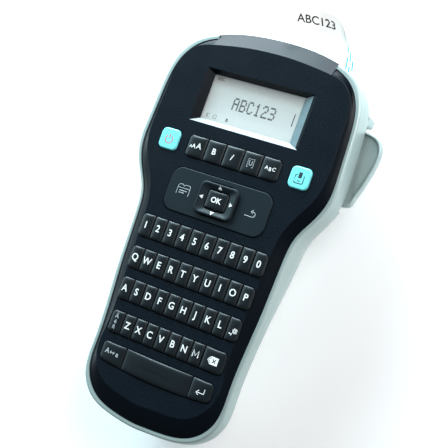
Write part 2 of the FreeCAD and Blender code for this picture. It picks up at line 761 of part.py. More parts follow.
def spool_set():
    x, y = TAKE_UP_AT
    shaft = rod(x, y, 6.8, GEAR_Z[1] + 0.6, SPINDLE_R)
    spindle_gear = gear(TAKE_UP_AT, TAKE_UP_TEETH, TAKE_UP_PHASE, SPINDLE_R - 0.2)
    return {
        "take_up_spindle": tidy(shaft.fuse(spindle_gear)),
        "ribbon_take_up_spool": spool(TAKE_UP_AT, 7.5, SPINDLE_R + 0.02),
        "ribbon_supply_spool": spool(RIBBON_SPOOL_AT, 6.4, POST_R + RUNNING_GAP),
        "tape_spool": spool(TAPE_SPOOL_AT, 16.6, POST_R + RUNNING_GAP),
    }


def drive_set():
    x, y = PLATEN_AT
    motor = rod(PINION_AT[0], PINION_AT[1], 28.7, 39.2, 9.0)
    motor = motor.cut(rod(PINION_AT[0], PINION_AT[1], 28.0, 31.5, 1.05))
    pinion = gear(PINION_AT, PINION_TEETH, PINION_PHASE, 1.0)
    pinion = pinion.fuse(rod(PINION_AT[0], PINION_AT[1], 25.9, 31.2, 1.0))
    return {
        "platen_shaft": rod(x, y, 5.6, 28.6, 1.25),
        "platen_roller": ring(x, y, 7.0, 21.0, PLATEN_R, 1.25),
        "platen_gear": gear(PLATEN_AT, PLATEN_TEETH, 0.0, 1.25),
        "idler_gear": gear(IDLER_AT, IDLER_TEETH, IDLER_PHASE, 1.5 + RUNNING_GAP),
        "motor_pinion": tidy(pinion),
        "drive_motor": motor,
    }


def key_set():
    bottom = row_keys(BOTTOM_ROW, BOTTOM_SPLITS)
    size, bold, italic, box_style, case_style = row_keys(FORMAT_ROW, even_splits(FORMAT_ROW, 5))
    caps, space, enter = row_keys(SPACE_ROW, SPACE_SPLITS)
    return {
        "power_key": side_key_cap(-1),
        "print_key": side_key_cap(1),
        "text_size_key": size,
        "bold_key": bold,
        "italic_key": italic,
        "box_style_key": box_style,
        "text_style_key": case_style,
        "number_keys": Part.makeCompound(row_keys(NUMBER_ROW, even_splits(NUMBER_ROW, 10))),
        "top_letter_keys": Part.makeCompound(row_keys(TOP_ROW, even_splits(TOP_ROW, 10))),
        "home_letter_keys": Part.makeCompound(row_keys(HOME_ROW, even_splits(HOME_ROW, 10))),
        "accent_key": bottom[0],
        "bottom_letter_keys": Part.makeCompound(bottom[1:8]),
        "backspace_key": bottom[8],
        "caps_key": caps,
        "space_key": space,
        "enter_key": enter,
        "nav_panel": make_nav_panel(),
        "nav_ring": make_nav_ring(),
        "nav_pivot": make_nav_pivot(),
        "ok_key": make_ok_key(),
    }


def all_parts():
    y, z = DOOR_AXIS
    parts = {
        "front_cover": make_front_cover(),
        "rear_case": make_rear_case(),
        "cassette_door": make_cassette_door(),
        "door_hinge_pin": along_x(-33.9, 33.9, y, z, DOOR_PIN_R),
        "battery_cover": make_battery_cover(),
        "display_window": make_display_window(),
        "lcd_panel": make_lcd_panel(),
        "lcd_frame": make_lcd_frame(),
        "keypad_mat": make_mat(),
        "main_circuit_board": make_board(),
        "cutter_lever": make_cutter_lever(),
        "lever_pivot_pin": rod(LEVER_PIVOT[0], LEVER_PIVOT[1], 13.6, 36.4, 1.0),
        "lever_spring": make_lever_spring(),
        "blade_carriage": make_blade_carriage(),
        "cutter_blade": make_cutter_blade(),
        "cutter_anvil": make_cutter_anvil(),
        "print_head": make_print_head(),
        "head_heat_sink": make_heat_sink(),
        "chassis_plate": make_chassis_plate(),
        "cassette_shell": make_cassette_shell(),
        "cassette_lid": make_cassette_lid(),
        "label_tape": make_label_tape(),
        "battery_tray": make_battery_tray(),
        "battery_cells": make_cells(),
        "battery_springs": make_battery_springs(),
        "battery_contacts": make_battery_contacts(),
        "power_jack": make_power_jack(),
        "case_screws": make_screws(),
    }
    parts.update(drive_set())
    parts.update(spool_set())
    parts.update(key_set())
    return parts


os.makedirs("parts", exist_ok=True)
for name, shape in all_parts().items():
    shape.exportStep(os.path.join("parts", name + ".step"))
    print(name, shape.isValid(), len(shape.Solids), round(shape.Volume, 1))
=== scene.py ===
# %% [markdown]
# # A hand-held label maker, finished in Blender
#
# The CAD frame gives every part its place and size. This script gives the parts their surfaces:
# dark satin mouldings, pale silver plastic, pillow-topped keys with printed legends, a grey-green
# display and a curled strip of label tape. Each cell makes one piece or one finish.

# %% Load the frame
import json
import math

import bmesh
import bpy
from mathutils import Matrix, Vector


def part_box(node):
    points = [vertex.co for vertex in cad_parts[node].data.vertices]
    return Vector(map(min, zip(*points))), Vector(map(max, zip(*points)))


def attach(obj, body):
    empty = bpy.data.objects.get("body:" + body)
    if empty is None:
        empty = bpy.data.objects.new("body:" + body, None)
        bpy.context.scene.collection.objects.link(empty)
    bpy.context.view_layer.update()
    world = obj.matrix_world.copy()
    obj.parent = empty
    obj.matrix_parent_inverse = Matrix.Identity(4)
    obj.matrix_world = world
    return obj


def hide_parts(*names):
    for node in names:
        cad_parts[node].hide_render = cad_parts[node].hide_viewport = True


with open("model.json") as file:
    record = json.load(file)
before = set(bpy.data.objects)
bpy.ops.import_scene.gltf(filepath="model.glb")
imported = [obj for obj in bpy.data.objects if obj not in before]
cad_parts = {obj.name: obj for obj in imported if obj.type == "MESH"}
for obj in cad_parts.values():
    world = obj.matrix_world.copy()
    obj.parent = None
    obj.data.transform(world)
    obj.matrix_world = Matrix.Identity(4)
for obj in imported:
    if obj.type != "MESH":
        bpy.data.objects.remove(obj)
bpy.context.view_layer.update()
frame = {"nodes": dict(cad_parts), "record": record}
MM = 0.001


# %% [markdown]
# ## Camera
#
# The camera stands to the right of the object and looks down at the keypad. A long lens keeps the
# outline nearly parallel. The camera is aimed with a tracking rotation and then rolled, so that the
# object leans to the left in the frame.

# %% Camera
CAMERA_AT = Vector((254.5, -15.9, 529.2)) * MM
CAMERA_AIM = Vector((8.0, 7.4, 50.0)) * MM
CAMERA_ROLL = math.radians(-65.25)
LENS = 87.2

camera_data = bpy.data.cameras.new("camera")
camera_data.lens = LENS
camera_data.sensor_width = 36.0
camera_data.clip_start = 0.01
camera = bpy.data.objects.new("camera", camera_data)
tracking = (CAMERA_AIM - CAMERA_AT).to_track_quat("-Z", "Y").to_matrix().to_4x4()
camera.matrix_world = Matrix.Translation(CAMERA_AT) @ tracking @ Matrix.Rotation(CAMERA_ROLL, 4, "Z")
bpy.context.scene.collection.objects.link(camera)
bpy.context.scene.camera = camera
print("camera:", LENS, "mm lens")


# %% [markdown]
# ## Studio
#
# Dark plastic shows its shape by what it reflects, so the lights are wide soft panels. A long low
# panel on the upper left draws the bright edge of every key, and the surroundings stay dim, so that
# the flat faces remain nearly black. The floor is plain and pale.

# %% Studio
FLOOR_SIZE = 6.0
FLOOR_DROP = 0.0003
FLOOR_GLOW = 0.18
SURROUND_GLOW = 0.14
TEAL = (0.66, 0.93, 1.0)
PALE_BLUE = (0.80, 0.92, 1.0)


def set_inputs(node, values):
    """Sets the unlinked inputs of a shader node, by their titles."""
    for title, value in values.items():
        node.inputs[title].default_value = value


def add_panel(name, place, aim, size, power, colour=(1, 1, 1)):
    """One rectangular soft light that faces the point aim."""
    data = bpy.data.lights.new(name, "AREA")
    data.shape = "RECTANGLE"
    data.size, data.size_y = size
    data.energy = power
    data.color = colour
    light = bpy.data.objects.new(name, data)
    facing = (Vector(aim) - Vector(place)).to_track_quat("-Z", "Y").to_matrix().to_4x4()
    light.matrix_world = Matrix.Translation(place) @ facing
    bpy.context.scene.collection.objects.link(light)


def new_material(name, values):
    """A material whose one shader has the given inputs."""
    material = bpy.data.materials.new(name)
    material.use_nodes = True
    set_inputs(material.node_tree.nodes["Principled BSDF"], values)
    return material


def make_floor():
    """A plain pale sheet, just under the flat back of the case."""
    mesh = bpy.data.meshes.new("floor")
    bm = bmesh.new()
    bmesh.ops.create_grid(bm, x_segments=1, y_segments=1, size=FLOOR_SIZE / 2)
    bm.to_mesh(mesh)
    bm.free()
    for v in mesh.vertices:
        v.co.z = -FLOOR_DROP
    floor = bpy.data.objects.new("floor", mesh)
    bpy.context.scene.collection.objects.link(floor)
    floor.data.materials.append(new_material("floor_white", {
        "Base Color": (0.93, 0.935, 0.94, 1), "Roughness": 0.9, "Specular IOR Level": 0.1,
        "Emission Color": (1, 1, 1, 1), "Emission Strength": FLOOR_GLOW}))


make_floor()
add_panel("upper_left_panel", (-0.50, 0.80, 0.44), (0, 0, 0.04), (0.6, 0.35), 14, TEAL)
add_panel("left_panel", (-0.95, 0.20, 0.42), (0, 0, 0.04), (0.8, 0.35), 6, TEAL)
add_panel("far_end_panel", (-0.42, 0.85, 0.17), (0, 0.1, 0.04), (0.9, 0.25), 15, PALE_BLUE)
add_panel("right_panel", (0.75, 0.65, 0.40), (0.05, 0.05, 0.03), (0.5, 0.3), 3)
add_panel("overhead_panel", (0.9, 0.7, 1.0), (0, 0, 0), (0.9, 0.9), 16)
world = bpy.data.worlds.new("studio")
world.use_nodes = True
set_inputs(world.node_tree.nodes["Background"], {"Color": (0.95, 0.97, 1.0, 1), "Strength": SURROUND_GLOW})
bpy.context.scene.world = world
bpy.context.scene.view_settings.view_transform = "Standard"
print("lights:", len(bpy.data.lights))


# %% [markdown]
# ## Shared surface effects
#
# Moulded plastic is never quite flat or quite even. Two node groups are used again and again: a fine
# grain, which gives both a height for a bump and a mask for tiny light specks, and a slow mottling,
# which varies the roughness. Each material sets its own scale and strength.

# %% Node groups
def new_group(name, inputs, outputs):
    """An empty shader node group with float or colour sockets."""
    group = bpy.data.node_groups.new(name, "ShaderNodeTree")
    for title, kind, value in inputs:
        socket = group.interface.new_socket(name=title, in_out="INPUT", socket_type=kind)
        socket.default_value = value
    for title, kind in outputs:
        group.interface.new_socket(name=title, in_out="OUTPUT", socket_type=kind)
    source = group.nodes.new("NodeGroupInput")
    target = group.nodes.new("NodeGroupOutput")
    return group, source, target


def wire(links, rows):
    """Links shader nodes. Each row is a node and its output, then the next node and its input."""
    for start, output, end, entry in rows:
        links.new(start.outputs[output], end.inputs[entry])


# %% [markdown]
# ## Fine grain
#
# Spark-eroded moulds leave a fine, even roughness on plastic. A noise and a cell pattern are added
# for its height, and the noise alone picks out the light specks. An image texture would blur close
# up, so the pattern is worked out from the place on the piece.

# %% Fine grain
def moulded_grain_group():
    """Fine spark-eroded grain: a height and a speck mask, at a scale in cells per metre."""
    group, source, target = new_group(
        "moulded_grain",
        [("Scale", "NodeSocketFloat", 2000.0), ("Speck", "NodeSocketFloat", 0.5)],
        [("Height", "NodeSocketFloat"), ("Specks", "NodeSocketFloat")])
    nodes = group.nodes
    place = nodes.new("ShaderNodeTexCoord")
    grain = nodes.new("ShaderNodeTexNoise")
    set_inputs(grain, {"Detail": 3.0, "Roughness": 0.6})
    cells = nodes.new("ShaderNodeTexVoronoi")
    spread = nodes.new("ShaderNodeMapRange")
    set_inputs(spread, {"From Min": 0.45, "From Max": 0.75})
    both = nodes.new("ShaderNodeMath")
    both.operation = "ADD"
    wire(group.links, (
        (place, "Object", grain, "Vector"), (place, "Object", cells, "Vector"),
        (source, "Scale", grain, "Scale"), (source, "Scale", cells, "Scale"),
        (grain, "Fac", both, 0), (cells, "Distance", both, 1), (both, "Value", target, "Height"),
        (grain, "Fac", spread, "Value"), (source, "Speck", spread, "To Max"),
        (spread, "Result", target, "Specks")))
    return group


GRAIN = moulded_grain_group()
print("node group:", GRAIN.name)


# %% [markdown]
# ## Slow mottling
#
# Handled plastic is shinier in some places than in others. One soft noise runs between a low and a
# high value and drives the roughness. It is kept apart from the grain because its scale is far
# larger.

# %% Slow mottling
def slow_mottle_group():
    """A slow, soft variation between two values."""
    group, source, target = new_group(
        "slow_mottle",
        [("Scale", "NodeSocketFloat", 60.0), ("Low", "NodeSocketFloat", 0.3),
         ("High", "NodeSocketFloat", 0.4)],
        [("Value", "NodeSocketFloat")])
    nodes = group.nodes
    place = nodes.new("ShaderNodeTexCoord")
    noise = nodes.new("ShaderNodeTexNoise")
    noise.inputs["Detail"].default_value = 4.0
    spread = nodes.new("ShaderNodeMapRange")
    set_inputs(spread, {"From Min": 0.3, "From Max": 0.7})
    wire(group.links, (
        (place, "Object", noise, "Vector"), (source, "Scale", noise, "Scale"),
        (noise, "Fac", spread, "Value"), (source, "Low", spread, "To Min"),
        (source, "High", spread, "To Max"), (spread, "Result", target, "Value")))
    return group


MOTTLE = slow_mottle_group()
print("node group:", MOTTLE.name)


# %% [markdown]
# ## One recipe for every moulding
#
# All the plastics share one node layout and differ only in colour, grain and shine. A function
# builds it, so that each finish is one line. Ink is the same recipe with a very fine grain. Thin
# tape gets a faint even glow, a painted light that makes it brighter; it is calmer than true
# scattering through a third of a millimetre.

# %% Material helper
def moulding(name, colour, specks, rough, grain, bump, coat=0.0, metallic=0.0, specular=0.5):
    """A plastic with grain. rough is (low, high), grain is cells per metre, bump its height in mm."""
    material = new_material(name, {"Metallic": metallic, "Specular IOR Level": specular,
                                   "Coat Weight": coat, "Coat Roughness": 0.18})
    nodes = material.node_tree.nodes
    shader = nodes["Principled BSDF"]
    grains = nodes.new("ShaderNodeGroup")
    grains.node_tree = GRAIN
    set_inputs(grains, {"Scale": grain, "Speck": 1.0})
    mottles = nodes.new("ShaderNodeGroup")
    mottles.node_tree = MOTTLE
    mottles.inputs["Low"].default_value, mottles.inputs["High"].default_value = rough
    tint = nodes.new("ShaderNodeMix")
    tint.data_type = "RGBA"
    set_inputs(tint, {"A": (*colour, 1), "B": (*specks, 1)})
    relief = nodes.new("ShaderNodeBump")
    set_inputs(relief, {"Distance": bump * MM, "Strength": 1.0})
    wire(material.node_tree.links, (
        (grains, "Specks", tint, "Factor"), (tint, "Result", shader, "Base Color"),
        (mottles, "Value", shader, "Roughness"), (grains, "Height", relief, "Height"),
        (relief, "Normal", shader, "Normal")))
    return material


def printed(name, colour, rough=0.5):
    """Flat ink on plastic, with a faint unevenness in its shine."""
    return moulding(name, colour, tuple(c * 0.93 for c in colour), (rough, rough + 0.08), 4000, 0.002)


def paint_glow(material, amount):
    """Painted light: a faint, even glow that makes thin white tape look brighter than its lamps make it."""
    shader = material.node_tree.nodes["Principled BSDF"]
    set_inputs(shader, {"Emission Color": (1.0, 0.99, 0.98, 1), "Emission Strength": amount})


# %% [markdown]
# ## Finishes
#
# One finish for each kind of moulding. The raised face has a visible blue-black grain. The border
# around it is the same plastic, polished. The silver plastic is a pale green-grey with a little metal
# flake under it. Names say what the piece is made of, so that a reader can find the finish again.

# %% Finishes
DARK_FACE = moulding("dark_face", (0.0022, 0.0050, 0.0085), (0.010, 0.018, 0.030), (0.40, 0.48), 1500, 0.010,
                     specular=0.11)
DARK_GLOSS = moulding("dark_key_top", (0.004, 0.008, 0.011), (0.007, 0.012, 0.016), (0.38, 0.44), 5000, 0.002,
                      specular=0.34)
NAV_SATIN = moulding("nav_satin", (0.007, 0.014, 0.019), (0.009, 0.017, 0.023), (0.46, 0.52), 4500, 0.003,
                     specular=0.2)
SILVER = moulding("silver_case", (0.36, 0.455, 0.45), (0.42, 0.52, 0.51), (0.36, 0.44), 3500, 0.004,
                  coat=0.15, metallic=0.25)
CYAN = moulding("cyan_key", (0.20, 0.80, 0.84), (0.22, 0.84, 0.88), (0.25, 0.32), 4500, 0.002, coat=0.2)
LCD_GLASS = moulding("display_glass", (0.53, 0.555, 0.54), (0.55, 0.575, 0.56), (0.22, 0.28), 6000, 0.001)
INNER = moulding("inner_moulding", (0.02, 0.021, 0.023), (0.03, 0.031, 0.033), (0.5, 0.6), 1800, 0.02)
RUBBER = moulding("soft_rubber", (0.05, 0.05, 0.052), (0.06, 0.06, 0.062), (0.65, 0.8), 2500, 0.02)
BOARD = moulding("board_lacquer", (0.01, 0.09, 0.035), (0.012, 0.12, 0.045), (0.25, 0.35), 1200, 0.01,
                 coat=0.4)
STEEL = moulding("plain_steel", (0.55, 0.56, 0.57), (0.62, 0.63, 0.64), (0.28, 0.4), 3000, 0.004,
                 metallic=1.0)
BRIGHT_STEEL = moulding("plated_wire", (0.75, 0.74, 0.72), (0.8, 0.8, 0.78), (0.12, 0.2), 3000, 0.002,
                        metallic=1.0)
ALLOY = moulding("heat_sink_alloy", (0.7, 0.71, 0.73), (0.76, 0.77, 0.79), (0.35, 0.5), 1600, 0.01,
                 metallic=1.0)
ACETAL = moulding("white_acetal", (0.78, 0.77, 0.72), (0.82, 0.81, 0.77), (0.38, 0.46), 2600, 0.004)
CASSETTE_GREY = moulding("cassette_grey", (0.12, 0.125, 0.13), (0.15, 0.155, 0.16), (0.42, 0.55), 1600, 0.02)
CELL_SLEEVE = moulding("cell_sleeve", (0.03, 0.03, 0.035), (0.05, 0.05, 0.055), (0.25, 0.35), 2200, 0.004,
                       coat=0.3)
TAPE_WHITE_GLOWING = moulding("tape_white_painted_glow", (0.88, 0.885, 0.88), (0.90, 0.905, 0.90), (0.30, 0.38), 5000, 0.001)
# Painted glow: the tape and its liner glow faintly, so they look lighter than the lamps make them.
TAPE_GLOW = 0.22
paint_glow(TAPE_WHITE_GLOWING, TAPE_GLOW)
WHITE_INK = printed("white_ink", (0.86, 0.88, 0.88))
GREY_INK = printed("grey_ink", (0.42, 0.47, 0.5))
BLACK_INK = printed("black_ink", (0.006, 0.006, 0.007))
RED_INK = printed("red_ink", (0.62, 0.06, 0.07))
DARK_INK = printed("dark_ink", (0.01, 0.03, 0.045))
CYAN_INK = printed("cyan_ink", (0.0, 0.42, 0.62))
FAINT_INK = printed("faint_ink", (0.50, 0.52, 0.51))
LCD_SHADE = printed("display_band", (0.49, 0.51, 0.50))
print("materials so far:", len(bpy.data.materials))


# %% [markdown]
# ## Clear window
#
# The window is flat, clean and thin. Nearly full transparency with a low refraction keeps the
# display under it readable, where thick glass would darken it with its own shadows.

# %% Clear window
CLEAR = new_material("clear_plastic", {"Base Color": (0.98, 1.0, 0.99, 1), "Roughness": 0.03,
                                       "IOR": 1.2, "Alpha": 0.06})
print("window:", CLEAR.name)


# %% [markdown]
# ## Polished border
#
# The border round the raised face is the same plastic without grain. A mask on height takes away
# the grain, the specks and some roughness just below the level of the face, so that the cover needs
# neither a cut nor a second material.

# %% Polished border
def polish_the_border(material, height, gloss):
    """Below the height, in metres, the grain and its specks fade out and the surface is glossier."""
    nodes, links = material.node_tree.nodes, material.node_tree.links
    shader = nodes["Principled BSDF"]
    place = nodes.new("ShaderNodeTexCoord")
    split = nodes.new("ShaderNodeSeparateXYZ")
    mask = nodes.new("ShaderNodeMapRange")
    set_inputs(mask, {"From Min": height - 0.1 * MM, "From Max": height})
    shine = nodes.new("ShaderNodeMix")
    shine.inputs["A"].default_value = gloss
    relief = next(n for n in nodes if n.type == "BUMP")
    tint = next(n for n in nodes if n.type == "MIX" and n.data_type == "RGBA")
    specks = tint.inputs["Factor"].links[0].from_socket
    rough = shader.inputs["Roughness"].links[0].from_socket
    fewer = nodes.new("ShaderNodeMath")
    fewer.operation = "MULTIPLY"
    links.new(rough, shine.inputs["B"])
    links.new(specks, fewer.inputs[0])
    wire(links, (
        (place, "Object", split, "Vector"), (split, "Z", mask, "Value"),
        (mask, "Result", shine, "Factor"), (shine, "Result", shader, "Roughness"),
        (mask, "Result", relief, "Strength"), (mask, "Result", fewer, 1),
        (fewer, "Value", tint, "Factor")))


FACE_LEVEL = 0.04996
BORDER_ROUGHNESS = 0.30
polish_the_border(DARK_FACE, FACE_LEVEL, BORDER_ROUGHNESS)
print("border polished below", round(FACE_LEVEL / MM, 2), "mm")


# %% [markdown]
# ## A finish for every part
#
# The record names a slot for each part of the frame. One table gives every slot its finish, and
# each part then holds exactly one material.

# %% A finish for every part
FINISH_OF_SLOT = {
    "dark_cover": DARK_FACE, "silver_case": SILVER, "dark_key": DARK_GLOSS, "cyan_key": CYAN,
    "clear_window": CLEAR, "display_glass": LCD_GLASS, "inner_frame": INNER, "rubber_mat": RUBBER,
    "board_green": BOARD, "steel": STEEL, "spring_steel": BRIGHT_STEEL, "heat_sink_metal": ALLOY,
    "gear_plastic": ACETAL, "platen_rubber": RUBBER, "cassette_grey": CASSETTE_GREY,
    "spool_plastic": ACETAL, "label_white": TAPE_WHITE_GLOWING, "cell_label": CELL_SLEEVE, "jack_black": INNER,
}
for part in frame["record"]["subparts"]:
    cad = frame["nodes"][part["node"]]
    cad.data.materials.clear()
    cad.data.materials.append(FINISH_OF_SLOT[part["material_slot"]])
print("slots with a finish:", len(FINISH_OF_SLOT))


# %% [markdown]
# ## Helpers for new pieces
#
# A new piece starts as a bmesh, becomes a mesh in the frame's own place, and rides on the body of
# the CAD node it stands for. Legends are text that is turned into mesh before it is placed.

# %% Piece helpers
SHARP_ANGLE = math.radians(50)


def body_of_node(node):
    """The moving body that a frame part belongs to."""
    for body, members in frame["record"]["behaviour"]["bodies"].items():
        if node in members:
            return body
    raise ValueError(node)


def keep_piece(name, bm, material, body, smooth=True, stands_for=()):
    """Makes the finished object from a bmesh whose vertices are already in place, in metres."""
    mesh = bpy.data.meshes.new(name)
    bmesh.ops.recalc_face_normals(bm, faces=bm.faces)
    for face in bm.faces:
        face.smooth = smooth
    bm.to_mesh(mesh)
    bm.free()
    if smooth:
        mesh.set_sharp_from_angle(angle=SHARP_ANGLE)
    mesh.materials.append(material)
    piece = bpy.data.objects.new(name, mesh)
    bpy.context.scene.collection.objects.link(piece)
    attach(piece, body)
    if stands_for:
        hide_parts(*stands_for)
    print(name, "rides on", body + ":", len(mesh.polygons), "faces")


def join_into(bm, other):
    """Adds another bmesh's geometry to bm."""
    mesh = bpy.data.meshes.new("joined")
    other.to_mesh(mesh)
    other.free()
    bm.from_mesh(mesh)
    bpy.data.meshes.remove(mesh)


# %% [markdown]
# ## Print and lines of ink
#
# Printed signs are very thin solids. Text is a curve object that is made mesh, because a piece has
# to hold plain geometry. A line is a round tube along a curve, pressed flat: it turns its corners
# cleanly, where separate blocks would overlap and show dark spots.

# %% Print and lines of ink
def curve_to_bmesh(curve):
    """The geometry of a text or a curve; the curve itself is used up."""
    holder = bpy.data.objects.new(curve.name, curve)
    mesh = bpy.data.meshes.new_from_object(holder)
    bpy.data.objects.remove(holder)
    bpy.data.curves.remove(curve)
    bm = bmesh.new()
    bm.from_mesh(mesh)
    bpy.data.meshes.remove(mesh)
    return bm


def text_bmesh(words, size, place, bold=0.0, width=1.0, depth=0.04):
    """Words as thin raised print, centred on place, in metres; sizes are in millimetres."""
    curve = bpy.data.curves.new("legend", "FONT")
    curve.body = words
    curve.size = size * MM
    curve.offset = bold * MM
    curve.align_x = "CENTER"
    curve.align_y = "CENTER"
    curve.extrude = depth * MM / 2
    curve.resolution_u = 6
    bm = curve_to_bmesh(curve)
    bmesh.ops.scale(bm, vec=(width, 1, 1), verts=bm.verts)
    bmesh.ops.translate(bm, vec=place, verts=bm.verts)
    return bm


def stroke(bm, points, z, width, closed=False, height=0.05):
    """A line of ink through points in mm: a curve with a round section, made mesh and pressed flat."""
    curve = bpy.data.curves.new("stroke", "CURVE")
    curve.dimensions = "3D"
    curve.bevel_depth = width * MM / 2
    curve.bevel_resolution = 2
    curve.use_fill_caps = True
    line = curve.splines.new("POLY")
    line.points.add(len(points) - 1)
    for point, (x, y) in zip(line.points, points):
        point.co = (x * MM, y * MM, 0, 1)
    line.use_cyclic_u = closed
    one = curve_to_bmesh(curve)
    bmesh.ops.scale(one, vec=(1, 1, height / width * 2), verts=one.verts)
    bmesh.ops.translate(one, vec=(0, 0, z), verts=one.verts)
    join_into(bm, one)


def block_bmesh(x, y, z, width, height, depth=0.02):
    """A thin upright-edged block of ink: place and size in mm, but z in metres."""
    bm = bmesh.new()
    bmesh.ops.create_cube(bm, size=1.0)
    bmesh.ops.scale(bm, vec=(width * MM, height * MM, depth * MM), verts=bm.verts)
    bmesh.ops.translate(bm, vec=(x * MM, y * MM, z), verts=bm.verts)
    return bm


def arc_points(centre, radius, start, end, count=16, squash=1.0):
    """Points round part of a circle; angles in degrees, sizes in millimetres."""
    points = []
    for n in range(count + 1):
        angle = math.radians(start + (end - start) * n / count)
        points.append((centre[0] + radius * math.cos(angle),
                       centre[1] + radius * squash * math.sin(angle)))
    return points


# %% [markdown]
# ## Key caps
#
# Each key cap starts as a block. A cube is scaled, and its four upright edges are rounded by a bevel
# with a radius of their own: keys at the end of a row have wide outer corners. The top face is then
# drawn in ring by ring. Each ring is an extrusion in place that is scaled towards the middle, so the
# faces follow the key's outline.

# %% Key cap
CORNER_STEPS = 8
DOME_STEPS = (0.02, 0.06, 0.12, 0.21, 0.32, 0.46, 0.64, 0.82, 1.0)
EDGE_RISE = 0.65
BOW_RISE = 0.55


def rounded_block(low, high, radii):
    """A block between two corners in mm. radii: corner radius at (-x-y, +x-y, +x+y, -x+y)."""
    bm = bmesh.new()
    bmesh.ops.create_cube(bm, size=1.0)
    size = [(h - l) * MM for l, h in zip(low, high)]
    centre = [(l + h) / 2 * MM for l, h in zip(low, high)]
    bmesh.ops.scale(bm, vec=size, verts=bm.verts)
    bmesh.ops.translate(bm, vec=centre, verts=bm.verts)
    corners = [(Vector((centre[0] + sx * size[0] / 2, centre[1] + sy * size[1] / 2)), radius)
               for (sx, sy), radius in zip(((-1, -1), (1, -1), (1, 1), (-1, 1)), radii)]
    for corner, radius in corners:
        upright = [e for e in bm.edges if all((v.co.xy - corner).length < 1e-6 for v in e.verts)]
        bmesh.ops.bevel(bm, geom=upright, offset=radius * MM, segments=CORNER_STEPS, profile=0.5,
                        affect="EDGES", clamp_overlap=True, material=-1)
    return bm, centre, size


def top_face(bm):
    """The one face whose corners are all at the top."""
    highest = max(v.co.z for v in bm.verts)
    return [f for f in bm.faces if all(v.co.z > highest - 1e-7 for v in f.verts)][0]


def next_ring(bm, face, centre, shrink, z):
    """Extrudes a face in place, draws it in towards centre by the two factors, and sets its height."""
    made = bmesh.ops.extrude_discrete_faces(bm, faces=[face])["faces"][0]
    for v in made.verts:
        v.co.x = centre[0] + (v.co.x - centre[0]) * shrink[0]
        v.co.y = centre[1] + (v.co.y - centre[1]) * shrink[1]
        v.co.z = z
    return made


# %% [markdown]
# ## Domed top
#
# A real key top is a soft pillow, steep at its edge and calm in the middle, where the legend is
# printed. The height is the product of one curve for each direction. A bevel alone could not make a
# slope that changes over the whole key.

# %% Domed top
def dome_height(u, v):
    """Height of the top above its border, in mm; u and v run from -1 to 1 across the cap."""
    edge = math.sqrt(max(0.0, (1 - abs(u) ** 8) * (1 - abs(v) ** 8)))
    return edge * (EDGE_RISE + BOW_RISE * (1 - u * u))


def cap_bmesh(low, high, radii, sag=0.0, sag_reach=1.0):
    """A cap with a domed top. sag bends its lower edge in a curve across the keypad."""
    bm, centre, size = rounded_block(low, high, radii)
    top = top_face(bm)
    bmesh.ops.subdivide_edges(bm, edges=[e for e in top.edges if e.calc_length() > 1.5 * MM], cuts=7)
    top = top_face(bm)
    foot = (high[2] - EDGE_RISE - BOW_RISE) * MM
    for v in top.verts:
        v.co.z = foot
    half = [s / MM / 2 for s in size[:2]]
    reach = min(half) - 0.4
    done = 0.0
    for step in DOME_STEPS:
        shrink = [(h - step * reach) / (h - done * reach) for h in half]
        top = next_ring(bm, top, centre, shrink, foot)
        done = step
    for v in bm.verts:
        if v.co.z >= foot - 0.001 * MM:
            u = (v.co.x - centre[0]) / (half[0] * MM)
            w = (v.co.y - centre[1]) / (half[1] * MM)
            v.co.z = foot + dome_height(max(-1, min(1, u)), max(-1, min(1, w))) * MM
    if sag:
        for v in bm.verts:
            share = (high[1] * MM - v.co.y) / size[1]
            v.co.y -= sag * MM * share * (1 - (v.co.x / (sag_reach * MM)) ** 2)
    return bm


# %% [markdown]
# ## Print that follows a cap
#
# A flat legend would sink into a bowed key at its sides. Its long edges are divided, and every
# point is lowered by the bow of the cap under it. Projecting the print onto the cap would also
# press its own thickness flat.

# %% Print that follows a cap
def lay_on_cap(bm, cap):
    """Lowers print towards the sides, as the cap below it bows. Long edges are divided first."""
    middle = (cap[0][0] + cap[1][0]) / 2 * MM
    half = (cap[1][0] - cap[0][0]) / 2 * MM
    bmesh.ops.triangulate(bm, faces=[f for f in bm.faces if len(f.verts) > 4])
    for length in (1.6, 0.8):
        long_edges = [e for e in bm.edges if e.calc_length() > length * MM]
        bmesh.ops.subdivide_edges(bm, edges=long_edges, cuts=1)
    bmesh.ops.triangulate(bm, faces=bm.faces)
    for v in bm.verts:
        v.co.z -= BOW_RISE * MM * ((v.co.x - middle) / half) ** 2


# %% [markdown]
# ## Rows of keys
#
# A row takes its place from the boxes of the frame's key parts and is divided into caps. The caps
# of one part are one object, because they move together, and the legends on them are another,
# because ink is another material.

# %% Rows of keys
def mm_box(node):
    """The CAD node's corners, in millimetres."""
    low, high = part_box(node)
    return [c / MM for c in low], [c / MM for c in high]


FLANGE = 1.0
INNER_CORNER = 0.35
OUTER_CORNER = 2.9
GAP = 0.45
LEGEND_SIZE = 5.0
KEY_TOP = mm_box("number_keys")[1][2]
LEGEND_Z = (KEY_TOP - 0.01) * MM
LEGEND_BOLD = 0.085
LEGEND_WIDTH = 0.95
LEGEND_DEPTH = 0.12


def key_row(node, edges):
    """Low corner, high corner and corner radii of each cap between the x positions in edges."""
    low, high = mm_box(node)
    last = len(edges) - 2
    caps = []
    for n, (left, right) in enumerate(zip(edges[:-1], edges[1:])):
        x0 = left + (0 if n == 0 else GAP / 2)
        x1 = right - (0 if n == last else GAP / 2)
        left_corner = OUTER_CORNER if n == 0 else INNER_CORNER
        right_corner = OUTER_CORNER if n == last else INNER_CORNER
        radii = (left_corner, right_corner, right_corner, left_corner)
        caps.append(((x0, low[1] + FLANGE, low[2]), (x1, high[1] - FLANGE, KEY_TOP), radii))
    return caps


def even_edges(low, high, count):
    """The borders of count equal keys."""
    return [low + (high - low) * n / count for n in range(count + 1)]


